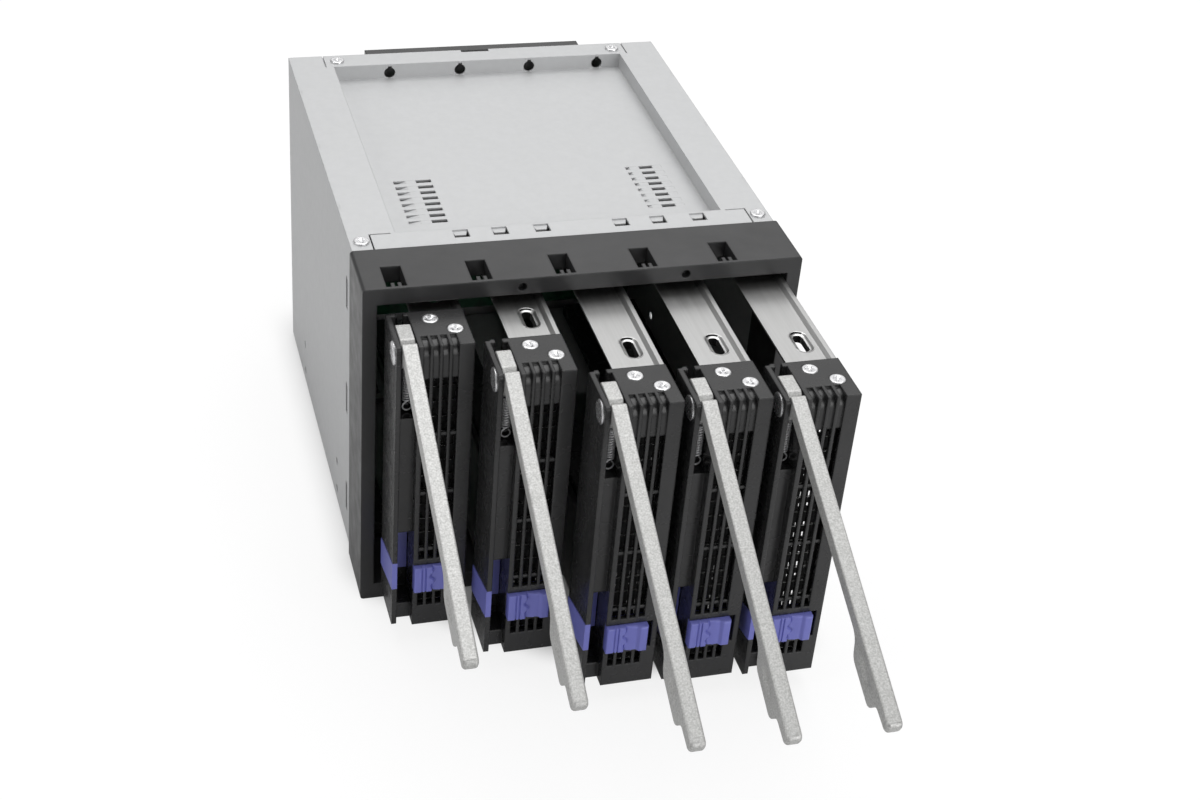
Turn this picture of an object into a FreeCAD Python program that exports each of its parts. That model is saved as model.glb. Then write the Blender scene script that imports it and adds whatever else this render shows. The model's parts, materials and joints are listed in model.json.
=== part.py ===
import FreeCAD, Part
import math
import os
import Sketcher

# Hot swap drive cage: five pull-out trays with open levers in a steel cage with a plastic bezel.
# Frame: millimetres, +X right, +Y to the rear, +Z up.
# The origin is in the bezel's front plane, at mid width, level with the bezel's bottom edge.

doc = FreeCAD.newDocument("hot_swap_drive_cage")
sheet = doc.addObject("Spreadsheet::Sheet", "sizes")


class Size:
    """A length that keeps both its number and the sheet formula behind it."""

    def __init__(self, value, text):
        self.value = float(value)
        self.text = text

    def join(self, other, sign, value):
        return Size(value, "(%s %s %s)" % (self.text, sign, as_size(other).text))

    def __add__(self, other):
        return self.join(other, "+", self.value + as_size(other).value)

    def __sub__(self, other):
        return self.join(other, "-", self.value - as_size(other).value)

    def __mul__(self, other):
        return self.join(other, "*", self.value * as_size(other).value)

    def __truediv__(self, other):
        return self.join(other, "/", self.value / as_size(other).value)

    def __radd__(self, other):
        return as_size(other) + self

    def __rsub__(self, other):
        return as_size(other) - self

    def __rmul__(self, other):
        return as_size(other) * self

    def __neg__(self):
        return Size(-self.value, "(0 - %s)" % self.text)


def as_size(number):
    if isinstance(number, Size):
        return number
    return Size(number, "(%.6f)" % number if number < 0 else "%.6f" % number)


sheet_row = 0


def size(alias, value):
    """Writes one driving dimension into the sheet and gives it back as a Size."""
    global sheet_row
    sheet_row += 1
    sheet.set("A%d" % sheet_row, alias)
    sheet.set("B%d" % sheet_row, str(value))
    sheet.setAlias("B%d" % sheet_row, alias)
    return Size(value, "sizes." + alias)


# Bezel: a deep plastic ring round the tray fronts
bezel_width = size("bezel_width", 148.0)
bezel_height = size("bezel_height", 127.0)
bezel_depth = size("bezel_depth", 24.6)
bezel_side = size("bezel_side", 4.7)
bezel_top = size("bezel_top", 5.9)
bezel_bottom = size("bezel_bottom", 6.5)
bezel_corner = size("bezel_corner", 1.2)
window_width = size("window_width", 6.6)
window_front = size("window_front", 1.2)
window_rear = size("window_rear", 13.4)
window_offset = size("window_offset", -7.65)
prong_width = size("prong_width", 1.2)
prong_length = size("prong_length", 2.2)
marker_radius = size("marker_radius", 1.5)
marker_drop = size("marker_drop", 3.2)
marker_offset = size("marker_offset", 5.4)
marker_depth = size("marker_depth", 3.0)

# Housing: folded steel sheet behind the bezel
sheet_wall = size("sheet_wall", 0.8)
housing_depth = size("housing_depth", 148.6)
housing_side_inset = size("housing_side_inset", 1.0)
housing_edge_inset = size("housing_edge_inset", 0.9)
pan_half_width = size("pan_half_width", 57.0)
pan_drop = size("pan_drop", 5.8)
flap_half_width = size("flap_half_width", 65.4)
flap_length = size("flap_length", 11.4)
flap_notch_depth = size("flap_notch_depth", 6.0)
flap_notch_width = size("flap_notch_width", 5.2)
flap_rim = size("flap_rim", 1.0)
rear_rim_length = size("rear_rim_length", 9.8)
rear_rim_half_width = size("rear_rim_half_width", 60.0)
rear_flange_length = size("rear_flange_length", 7.8)
relief_gap = size("relief_gap", 0.5)
keyhole_radius = size("keyhole_radius", 2.2)
keyhole_neck = size("keyhole_neck", 1.5)
keyhole_drop = size("keyhole_drop", 3.6)
keyhole_offset = size("keyhole_offset", -7.9)
rim_notch_half_width = size("rim_notch_half_width", 5.5)
rim_notch_depth = size("rim_notch_depth", 2.0)
louvre_length = size("louvre_length", 13.4)
louvre_width = size("louvre_width", 2.0)
louvre_pitch = size("louvre_pitch", 4.07)
louvre_first = size("louvre_first", 50.5)
louvre_inner = size("louvre_inner", 35.9)
tick_first = size("tick_first", 56.0)
tick_pitch = size("tick_pitch", 43.6)
tick_length = size("tick_length", 3.0)
corner_screw_x = size("corner_screw_x", 69.0)
corner_screw_y = size("corner_screw_y", 31.2)
rim_screw_x = size("rim_screw_x", 55.0)
rim_screw_y = size("rim_screw_y", 168.0)
tab_width = size("tab_width", 6.4)
tab_length = size("tab_length", 9.0)
snap_slot_front = size("snap_slot_front", 34.5)
snap_slot_length = size("snap_slot_length", 3.2)
snap_slot_height = size("snap_slot_height", 12.6)
snap_slot_low = size("snap_slot_low", 11.9)
snap_slot_pitch = size("snap_slot_pitch", 42.9)
snap_arm_wall = size("snap_arm_wall", 1.5)
snap_clearance = size("snap_clearance", 0.3)
snap_arm_over = size("snap_arm_over", 1.0)
bay_hole_radius = size("bay_hole_radius", 1.6)
bay_hole_front = size("bay_hole_front", 57.3)
bay_hole_spacing = size("bay_hole_spacing", 79.25)
bay_hole_low = size("bay_hole_low", 5.6)
bay_hole_rise = size("bay_hole_rise", 12.5)

# Trays: a moulded front on a bent metal carrier
TRAY_COUNT = 5
tray_pitch = size("tray_pitch", 27.7)
tray_shift = size("tray_shift", 0.2)
tray_width = size("tray_width", 24.7)
front_gap = size("front_gap", 0.8)
front_depth = size("front_depth", 20.4)
front_wall = size("front_wall", 1.8)
side_wall = size("side_wall", 1.2)
ear_wall = size("ear_wall", 1.6)
channel_width = size("channel_width", 5.4)
channel_back = size("channel_back", 1.8)
pad_front = size("pad_front", 3.8)
pad_low = size("pad_low", 45.0)
pad_high = size("pad_high", 91.0)
belly_well_back = size("belly_well_back", 13.4)
foot_top = size("foot_top", 14.2)
channel_top = size("channel_top", 112.0)
slot_width = size("slot_width", 2.05)
slot_pitch = size("slot_pitch", 3.06)
slot_first = size("slot_first", 1.6)
slot_wrap = size("slot_wrap", 6.2)
slot_low = size("slot_low", 15.5)
slot_over_latch = size("slot_over_latch", 2.5)
slot_under_latch = size("slot_under_latch", 1.5)
fill_low = size("fill_low", 107.6)
fill_round = size("fill_round", 4.6)
fill_overlap = size("fill_overlap", 0.4)
lug_width = size("lug_width", 1.5)
foot_gap = size("foot_gap", 0.7)
ear_clip = size("ear_clip", 0.7)
cross_bar = size("cross_bar", 1.2)
cross_bar_pitch = size("cross_bar_pitch", 23.4)
cross_bar_rise = size("cross_bar_rise", 5.5)
latch_low = size("latch_low", 22.5)
latch_high = size("latch_high", 33.0)
latch_length = size("latch_length", 13.8)
latch_travel = size("latch_travel", 1.8)
latch_gap = size("latch_gap", 0.3)
latch_proud = size("latch_proud", 1.6)
latch_play = size("latch_play", 0.2)
latch_rib_pitch = size("latch_rib_pitch", 2.5)
latch_groove = size("latch_groove", 0.6)
thumb_proud = size("thumb_proud", 2.5)
thumb_width = size("thumb_width", 2.6)
thumb_slope = size("thumb_slope", 1.4)
flange_wall = size("flange_wall", 1.1)
flange_reach = size("flange_reach", 1.5)
stop_tab_length = size("stop_tab_length", 2.4)
stop_tab_gap = size("stop_tab_gap", 1.0)
strip_front_low = size("strip_front_low", 24.0)
strip_rear_low = size("strip_rear_low", 19.0)
strip_height = size("strip_height", 11.0)
strip_proud = size("strip_proud", 0.2)

# Carrier: two rails and a perforated front plate, bent from one sheet
carrier_wall = size("carrier_wall", 0.8)
rail_left = size("rail_left", -3.8)
rail_right = size("rail_right", 12.6)
rail_level = size("rail_level", 54.7)
rail_lip = size("rail_lip", 0.9)
rail_lip_width = size("rail_lip_width", 1.4)
rail_lip_slope = size("rail_lip_slope", 1.4)
rail_lip_shift = size("rail_lip_shift", 0.3)
rail_rear = size("rail_rear", 165.0)
plate_front = size("plate_front", 3.6)
drive_slot_x = size("drive_slot_x", 5.4)
drive_slot_y = size("drive_slot_y", 34.0)
drive_slot_spacing = size("drive_slot_spacing", 101.6)
drive_slot_width = size("drive_slot_width", 3.4)
drive_slot_length = size("drive_slot_length", 9.4)
boss_width = size("boss_width", 8.0)
boss_length = size("boss_length", 15.0)
sink_clip = size("sink_clip", 1.7)
sink_width = size("sink_width", 5.8)
sink_length = size("sink_length", 11.8)
sink_depth = size("sink_depth", 0.8)
drive_height = size("drive_height", 101.6)
drive_clearance = size("drive_clearance", 0.6)
HOLE_ROWS = 17
hole_pitch = size("hole_pitch", 5.85)
hole_height = size("hole_height", 3.5)
guide_gap = size("guide_gap", 0.3)
guide_front = size("guide_front", 26.1)
guide_rear = size("guide_rear", 160.0)

# Lever: a cast arm with a hook at its hinge end
lever_width = size("lever_width", 4.8)
lever_side_gap = size("lever_side_gap", 0.2)
lever_length = size("lever_length", 108.6)
lever_face = size("lever_face", 6.85)
lever_thickness = size("lever_thickness", 4.5)
lever_belly = size("lever_belly", 4.0)
lever_round = size("lever_round", 1.8)
shoulder_drop = size("shoulder_drop", 4.2)
belly_slope = size("belly_slope", 3.0)
belly_round = size("belly_round", 2.2)
belly_start = size("belly_start", 80.5)
belly_end = size("belly_end", 98.0)
hub_radius = size("hub_radius", 5.0)
hook_reach = size("hook_reach", 9.36)
hook_tip_front = size("hook_tip_front", 1.1)
hook_heel_rear = size("hook_heel_rear", 2.7)
hook_heel_high = size("hook_heel_high", 7.6)
hook_round = size("hook_round", 1.2)
dimple_margin = size("dimple_margin", 2.2)
dimple_low = size("dimple_low", 94.5)
dimple_high = size("dimple_high", 84.0)
dimple_clip = size("dimple_clip", 1.4)
dimple_depth = size("dimple_depth", 0.6)
pin_radius = size("pin_radius", 1.9)
pin_clearance = size("pin_clearance", 0.05)
pin_head_radius = size("pin_head_radius", 4.0)
pin_head_height = size("pin_head_height", 1.0)
pivot_y = size("pivot_y", 5.5)
pivot_z = size("pivot_z", 115.5)
spring_radius = size("spring_radius", 1.7)
spring_y = size("spring_y", 9.4)
spring_low = size("spring_low", 95.0)
spring_high = size("spring_high", 107.0)
spring_eye = size("spring_eye", 5.0)
spring_foot = size("spring_foot", 1.0)
spring_hook_radius = size("spring_hook_radius", 0.4)
post_radius = size("post_radius", 0.8)

# Screws: one round-headed size throughout
screw_head_radius = size("screw_head_radius", 2.7)
screw_head_height = size("screw_head_height", 0.8)
screw_reach = size("screw_reach", 3.4)
screw_sink = size("screw_sink", 0.6)
screw_shank_radius = size("screw_shank_radius", 1.2)
front_screw_y = size("front_screw_y", 15.8)
front_screw_x = size("front_screw_x", 1.2)
side_screw_y = size("side_screw_y", 9.2)
side_screw_x = size("side_screw_x", 7.9)

# Rear: board, sockets, ports and fan
board_wall = size("board_wall", 1.6)
board_gap = size("board_gap", 4.2)
board_half_width = size("board_half_width", 71.0)
board_low = size("board_low", 10.2)
board_high = size("board_high", 116.8)
board_slot_half = size("board_slot_half", 3.2)
board_slot_reach = size("board_slot_reach", 30.0)
board_screw_x = size("board_screw_x", 66.0)
board_screw_edge = size("board_screw_edge", 5.0)
standoff_radius = size("standoff_radius", 3.0)
socket_width = size("socket_width", 5.0)
socket_height = size("socket_height", 38.0)
socket_depth = size("socket_depth", 8.0)
socket_x = size("socket_x", -7.5)
socket_z = size("socket_z", 42.0)
socket_mouth = size("socket_mouth", 2.4)
socket_wall = size("socket_wall", 2.0)
port_x = size("port_x", 57.0)
port_depth = size("port_depth", 8.6)
port_wall = size("port_wall", 1.0)
data_port_width = size("data_port_width", 15.0)
data_port_height = size("data_port_height", 6.4)
data_port_pitch = size("data_port_pitch", 17.0)
power_port_width = size("power_port_width", 10.0)
power_port_height = size("power_port_height", 24.0)
power_port_pitch = size("power_port_pitch", 30.0)
port_window_gap = size("port_window_gap", 1.0)
fan_size = size("fan_size", 80.0)
fan_depth = size("fan_depth", 25.4)
fan_level = size("fan_level", 68.0)
fan_bore_radius = size("fan_bore_radius", 38.0)
fan_hole_spacing = size("fan_hole_spacing", 71.5)
fan_hub_radius = size("fan_hub_radius", 17.0)
fan_blade_reach = size("fan_blade_reach", 34.6)
fan_shaft_radius = size("fan_shaft_radius", 1.5)
fan_round = size("fan_round", 3.5)
mount_wall = size("mount_wall", 2.6)
strut_width = size("strut_width", 3.0)
strut_overlap = size("strut_overlap", 1.0)
rotor_front = size("rotor_front", 3.0)
rotor_cap = size("rotor_cap", 1.5)
rotor_gap = size("rotor_gap", 0.5)
bracket_half_width = size("bracket_half_width", 42.8)
bracket_low = size("bracket_low", 26.0)
bracket_high = size("bracket_high", 125.8)
bracket_wall = size("bracket_wall", 4.4)

# Section of a fan blade: distance behind the fan's front, and height above the shaft
BLADE_SECTION = [(4.6, 8.6), (6.0, 9.4), (11.2, 4.4), (17.6, -5.6), (16.4, -6.4), (9.6, 3.2)]

# How far each tray is pulled out, and how far each lever is swung open from its shut, upright place
PULLS = [24.5, 43.9, 65.6, 68.0, 70.8]
OPENINGS = [65.4, 62.6, 62.6, 62.2, 64.6]
tray_pull = [size("tray_%d_pull" % (k + 1), PULLS[k]) for k in range(TRAY_COUNT)]
lever_angle = [size("lever_%d_angle" % (k + 1), OPENINGS[k]) for k in range(TRAY_COUNT)]

# Places that follow from the sizes
half_width = bezel_width / 2
opening_half = half_width - bezel_side
opening_top = bezel_height - bezel_top
middle_z = bezel_height / 2
side_outer = half_width - housing_side_inset
side_inner = side_outer - sheet_wall
housing_top = bezel_height - housing_edge_inset
housing_bottom = housing_edge_inset
housing_rear = bezel_depth + housing_depth
strip_under = housing_top - sheet_wall
pan_top = housing_top - pan_drop
pan_under = pan_top - sheet_wall
rear_inner = housing_rear - sheet_wall
front_low = bezel_bottom + front_gap
front_high = opening_top - front_gap
tray_left = -(tray_width / 2)
tray_right = tray_width / 2
ear_right = tray_left + ear_wall
block_left = ear_right + channel_width
rail_top = middle_z + rail_level
rail_under = rail_top - carrier_wall
plate_right = tray_right - side_wall - guide_gap
lever_left = ear_right + lever_side_gap
drive_face = middle_z + drive_height / 2 + drive_clearance
slot_left = block_left + slot_first
slots_right = slot_left + slot_pitch * 3 + slot_width
cross_bar_low = latch_high + cross_bar_rise
board_rear = rear_inner - board_gap
board_front = board_rear - board_wall
tray_x = [tray_pitch * (k - (TRAY_COUNT - 1) / 2) + tray_shift for k in range(TRAY_COUNT)]

PARTS = []


def number(value):
    return as_size(value).value


def bind(obj, prop, value):
    """Ties a property to its sheet formula."""
    obj.setExpression(prop, as_size(value).text)


def keep(obj, label):
    """Marks an object as a finished piece of the cage."""
    obj.Label = label
    PARTS.append(obj)
    return obj


def place(obj, x=0.0, y=0.0, z=0.0, angle=None):
    """Puts an object at a point, turned about +X by the given angle."""
    turn = as_size(0.0 if angle is None else angle)
    spot = "vector(%s; %s; %s)" % tuple(as_size(value).text for value in (x, y, z))
    rotation = "rotation(vector(1; 0; 0); %s)" % turn.text
    obj.setExpression("Placement", "placement(%s; %s)" % (spot, rotation))
    return obj


def box(name, low, high):
    """A block between two corners."""
    obj = doc.addObject("Part::Box", name)
    for prop, i in (("Length", 0), ("Width", 1), ("Height", 2)):
        bind(obj, prop, as_size(high[i]) - low[i])
    return place(obj, low[0], low[1], low[2])


# Rotation axis and angle that lay a bar drawn along +Z along another axis
TURNS = {"X": (0, 1, 0, 90), "Y": (1, 0, 0, -90), "Z": (0, 0, 1, 0)}
HEAD_SIDES = 12
SHANK_SIDES = 6
ROUND_SHARE = 0.98


def bar(name, radius, sides, start, length, along="Z"):
    """A bar with flat sides that starts at a point and runs along a positive axis."""
    obj = doc.addObject("Part::Prism", name)
    obj.Polygon = sides
    bind(obj, "Circumradius", radius)
    bind(obj, "Height", length)
    x, y, z, degrees = TURNS[along]
    spot = "vector(%s; %s; %s)" % tuple(as_size(value).text for value in start)
    rotation = "rotation(vector(%d; %d; %d); %d)" % (x, y, z, degrees)
    obj.setExpression("Placement", "placement(%s; %s)" % (spot, rotation))
    return obj


def fuse(name, pieces):
    obj = doc.addObject("Part::MultiFuse", name)
    obj.Shapes = pieces
    obj.Refine = True
    return obj


def group(name, pieces):
    """Several solids that stay apart in one node."""
    obj = doc.addObject("Part::Compound", name)
    obj.Links = pieces
    return obj


def cut(name, base, tool):
    obj = doc.addObject("Part::Cut", name)
    obj.Base = base
    obj.Tool = tool
    obj.Refine = True
    return obj


def new_body(name):
    return doc.addObject("PartDesign::Body", name)


def origin_part(body, role):
    for feature in body.Origin.OriginFeatures:
        if feature.Role == role:
            return feature


class Drawing:
    """One sketch whose lines, rounds and sizes are gathered first and then added together."""

    def __init__(self, body, role, offset):
        sketch = body.newObject("Sketcher::SketchObject", body.Name + "_sketch")
        sketch.AttachmentSupport = (origin_part(body, role), [""])
        sketch.MapMode = "FlatFace"
        bind(sketch, "AttachmentOffset.Base.z", offset)
        self.sketch = sketch
        self.shapes = []
        self.corners = []
        self.rules = []

    def add(self, shape):
        self.shapes.append(shape)
        return len(self.shapes) - 1

    def rule(self, kind, *rest, value=None):
        """One constraint. A value is a Size, which the constraint keeps as its formula."""
        self.rules.append((kind, rest, value))

    def hold_point(self, geometry, vertex, u, v):
        """Ties one point of the sketch to its two sheet formulas."""
        self.rule("DistanceX", -1, 1, geometry, vertex, value=u)
        self.rule("DistanceY", -1, 1, geometry, vertex, value=v)

    def hold_corner(self, spot, u, v, before, after):
        """The sharp corner behind a round, where the two runs beside it would meet."""
        corner = ("corner", len(self.corners))
        self.corners.append(Part.Point(spot))
        self.hold_point(corner, 1, u, v)
        self.rule("PointOnObject", corner, 1, before)
        self.rule("PointOnObject", corner, 1, after)

    def finish(self):
        """Writes everything that was gathered into the sketch."""
        self.sketch.addGeometry(self.shapes, False)
        if self.corners:
            self.sketch.addGeometry(self.corners, True)
        constraints = []
        formulas = []
        for kind, rest, value in self.rules:
            places = [len(self.shapes) + item[1] if isinstance(item, tuple) else item for item in rest]
            if value is not None:
                places.append(number(value))
                formulas.append((len(constraints), as_size(value).text))
            constraints.append(Sketcher.Constraint(kind, *places))
        self.sketch.addConstraint(constraints)
        for index, text in formulas:
            self.sketch.setExpression("Constraints[%d]" % index, text)
        return self.sketch


def corner_cut(before, corner, after, radius):
    """The two tangent points and the middle of the round at a corner."""
    one = (before - corner).normalize()
    two = (after - corner).normalize()
    half = one.getAngle(two) / 2
    reach = radius / math.tan(half)
    centre = corner + (one + two).normalize() * (radius / math.sin(half))
    middle = centre + (corner - centre).normalize() * radius
    return corner + one * reach, middle, corner + two * reach


def turns_left(first, middle, last):
    return (middle - first).cross(last - middle).z > 0


def outline(drawing, points):
    """A closed outline of straight runs. A third value rounds that corner."""
    spots = [FreeCAD.Vector(number(p[0]), number(p[1]), 0) for p in points]
    count = len(points)
    rounds = []
    for i, point in enumerate(points):
        if len(point) == 3:
            before = spots[i - 1]
            after = spots[(i + 1) % count]
            rounds.append(corner_cut(before, spots[i], after, number(point[2])))
        else:
            rounds.append((spots[i], None, spots[i]))
    lines = []
    for i in range(count):
        lines.append(drawing.add(Part.LineSegment(rounds[i][2], rounds[(i + 1) % count][0])))
    for i, point in enumerate(points):
        before = lines[i - 1]
        after = lines[i]
        if rounds[i][1] is None:
            drawing.rule("Coincident", before, 2, after, 1)
            drawing.hold_point(after, 1, point[0], point[1])
            continue
        arc = drawing.add(Part.Arc(*rounds[i]))
        start, end = (1, 2) if turns_left(*rounds[i]) else (2, 1)
        drawing.rule("Tangent", before, 2, arc, start)
        drawing.rule("Tangent", after, 1, arc, end)
        drawing.rule("Radius", arc, value=point[2])
        drawing.hold_corner(spots[i], point[0], point[1], before, after)


def rectangle(drawing, u_low, v_low, u_high, v_high, radius=None):
    corners = [(u_low, v_low), (u_high, v_low), (u_high, v_high), (u_low, v_high)]
    if radius is not None:
        corners = [corner + (radius,) for corner in corners]
    outline(drawing, corners)


def circle(drawing, u, v, radius):
    centre = FreeCAD.Vector(number(u), number(v), 0)
    ring = drawing.add(Part.Circle(centre, FreeCAD.Vector(0, 0, 1), number(radius)))
    drawing.hold_point(ring, 3, u, v)
    drawing.rule("Radius", ring, value=radius)


def ring(drawing, u, v, radius, sides):
    """A small round drawn with few flat sides, which keeps repeated fasteners light."""
    points = []
    for i in range(sides):
        turn = 2 * math.pi * i / sides
        points.append((u + radius * math.cos(turn), v + radius * math.sin(turn)))
    outline(drawing, points)


def long_hole(drawing, u, v, width, length):
    """A slot with round ends, long in the sketch's second direction."""
    half = width / 2
    straight = length / 2
    rectangle(drawing, u - half, v - straight, u + half, v + straight, half * ROUND_SHARE)


def clipped(drawing, u_low, v_low, u_high, v_high, clip):
    """A rectangle with its corners cut off at 45 degrees."""
    outline(drawing, [
        (u_low + clip, v_low), (u_high - clip, v_low),
        (u_high, v_low + clip), (u_high, v_high - clip),
        (u_high - clip, v_high), (u_low + clip, v_high),
        (u_low, v_high - clip), (u_low, v_low + clip),
    ])


CUTS = []


def feature(body, kind, drawing, length, backwards):
    obj = body.newObject("PartDesign::" + kind, body.Name + "_" + kind.lower())
    obj.Profile = drawing.finish()
    bind(obj, "Length", length)
    obj.Reversed = backwards
    return obj


def pad(body, drawing, length, backwards=False):
    return feature(body, "Pad", drawing, length, backwards)


def pocket(body, drawing, length, backwards=False):
    """A pocket is noted with the solid before it, because one that removes nothing is a fault."""
    before = body.Tip
    obj = feature(body, "Pocket", drawing, length, backwards)
    CUTS.append((obj, before))
    return obj


def top_sketch(body, z):
    """Seen from above: first direction +X, second +Y. A pad rises and a pocket sinks."""
    return Drawing(body, "XY_Plane", z)


def front_sketch(body, y):
    """Seen from the front: first direction +X, second +Z. A pad backwards and a pocket go to the rear."""
    return Drawing(body, "XZ_Plane", -as_size(y))


def side_sketch(body, x):
    """Seen from the right: first direction +Y, second +Z. A pad goes right and a pocket goes left."""
    return Drawing(body, "YZ_Plane", x)


def flip(z, low):
    """The same level measured from the top, or mirrored to the bottom."""
    return bezel_height - z if low else as_size(z)


def screw(name, start, facing):
    """A round head that sits on a face at the start point, with a shank that goes into the face."""
    x, y, z = start
    along = "Y" if facing in ("front", "rear") else "Z"
    outward = facing in ("up", "rear")
    head_shift = 0.0 if outward else -screw_head_height
    shank_shift = -screw_reach if outward else 0.0
    shifted = []
    for shift in (head_shift, shank_shift):
        if along == "Y":
            shifted.append((x, y + as_size(shift), z))
        else:
            shifted.append((x, y, z + as_size(shift)))
    head = bar(name + "_head", screw_head_radius, HEAD_SIDES, shifted[0], screw_head_height, along)
    shank = bar(name + "_shank", screw_shank_radius, SHANK_SIDES, shifted[1], screw_reach, along)
    return fuse(name, [head, shank])


def make_bezel():
    body = new_body("bezel")
    frame = front_sketch(body, 0.0)
    rectangle(frame, -half_width, 0.0, half_width, bezel_height, bezel_corner)
    rectangle(frame, -opening_half, bezel_bottom, opening_half, opening_top)
    pad(body, frame, bezel_depth, True)
    windows = top_sketch(body, bezel_height)
    for x in tray_x:
        left = x + window_offset - window_width / 2
        right = x + window_offset + window_width / 2
        points = [(left, window_rear), (left, window_front)]
        for step in (1, 2):
            prong = left + window_width * step / 3
            points.append((prong - prong_width / 2, window_front))
            points.append((prong - prong_width / 2, window_front + prong_length))
            points.append((prong + prong_width / 2, window_front + prong_length))
            points.append((prong + prong_width / 2, window_front))
        points += [(right, window_front), (right, window_rear)]
        outline(windows, points)
    pocket(body, windows, bezel_top)
    markers = front_sketch(body, 0.0)
    for k in (1, 3):
        ring(markers, tray_x[k] + marker_offset, bezel_height - marker_drop, marker_radius, HEAD_SIDES)
    pocket(body, markers, marker_depth)
    arm_right = side_inner - snap_clearance
    arm_left = arm_right - snap_arm_wall
    arm_end = snap_slot_front + snap_slot_length + snap_arm_over
    arms = front_sketch(body, bezel_depth)
    for step in range(3):
        low = snap_slot_low + snap_slot_pitch * step + snap_clearance
        high = low + snap_slot_height - snap_clearance * 2
        rectangle(arms, arm_left, low, arm_right, high)
        rectangle(arms, -arm_right, low, -arm_left, high)
    pad(body, arms, arm_end - bezel_depth, True)
    for step in range(3):
        low = snap_slot_low + snap_slot_pitch * step + snap_clearance
        barbs = top_sketch(body, low)
        barb_front = snap_slot_front + snap_clearance
        barb_rear = snap_slot_front + snap_slot_length - snap_clearance
        for side in (-1, 1):
            points = [(arm_right, barb_rear), (arm_right, barb_front), (side_outer, barb_front)]
            outline(barbs, [(u * side, v) for u, v in points])
        pad(body, barbs, snap_slot_height - snap_clearance * 2)
    keep(body, "bezel_frame")


def make_side_panel(side, label):
    """A flat steel side with snap slots, bay holes, two screw tabs and locking teeth."""
    body = new_body(label)
    low = housing_bottom + sheet_wall
    wall_left = side_inner if side > 0 else -side_outer
    wall = side_sketch(body, wall_left)
    rectangle(wall, bezel_depth, low, housing_rear, strip_under)
    pad(body, wall, sheet_wall)
    teeth = side_sketch(body, wall_left)
    for step in range(3):
        middle = tick_first + tick_pitch * step
        for base, tip in ((strip_under, housing_top), (housing_bottom, low)):
            rectangle(teeth, middle - tick_length / 2, base, middle + tick_length / 2, tip)
    pad(body, teeth, sheet_wall)
    for under in (False, True):
        level = flip(strip_under, under) if under else strip_under - sheet_wall
        tabs = top_sketch(body, level)
        near = side_inner - tab_width
        ends = (near, side_inner) if side > 0 else (-side_inner, -near)
        front = corner_screw_y - tab_length / 2
        rectangle(tabs, ends[0], front, ends[1], front + tab_length)
        pad(body, tabs, sheet_wall)
        hole = top_sketch(body, level + sheet_wall)
        ring(hole, corner_screw_x * side, corner_screw_y, screw_shank_radius, SHANK_SIDES)
        pocket(body, hole, sheet_wall)
    openings = side_sketch(body, wall_left + sheet_wall)
    for step in range(3):
        slot_low_z = snap_slot_low + snap_slot_pitch * step
        slot_rear = snap_slot_front + snap_slot_length
        rectangle(openings, snap_slot_front, slot_low_z, slot_rear, slot_low_z + snap_slot_height)
    for across in range(2):
        for up in range(2):
            y = bay_hole_front + bay_hole_spacing * across
            circle(openings, y, bay_hole_low + bay_hole_rise * up, bay_hole_radius)
    pocket(body, openings, sheet_wall)
    keep(body, label)


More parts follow.
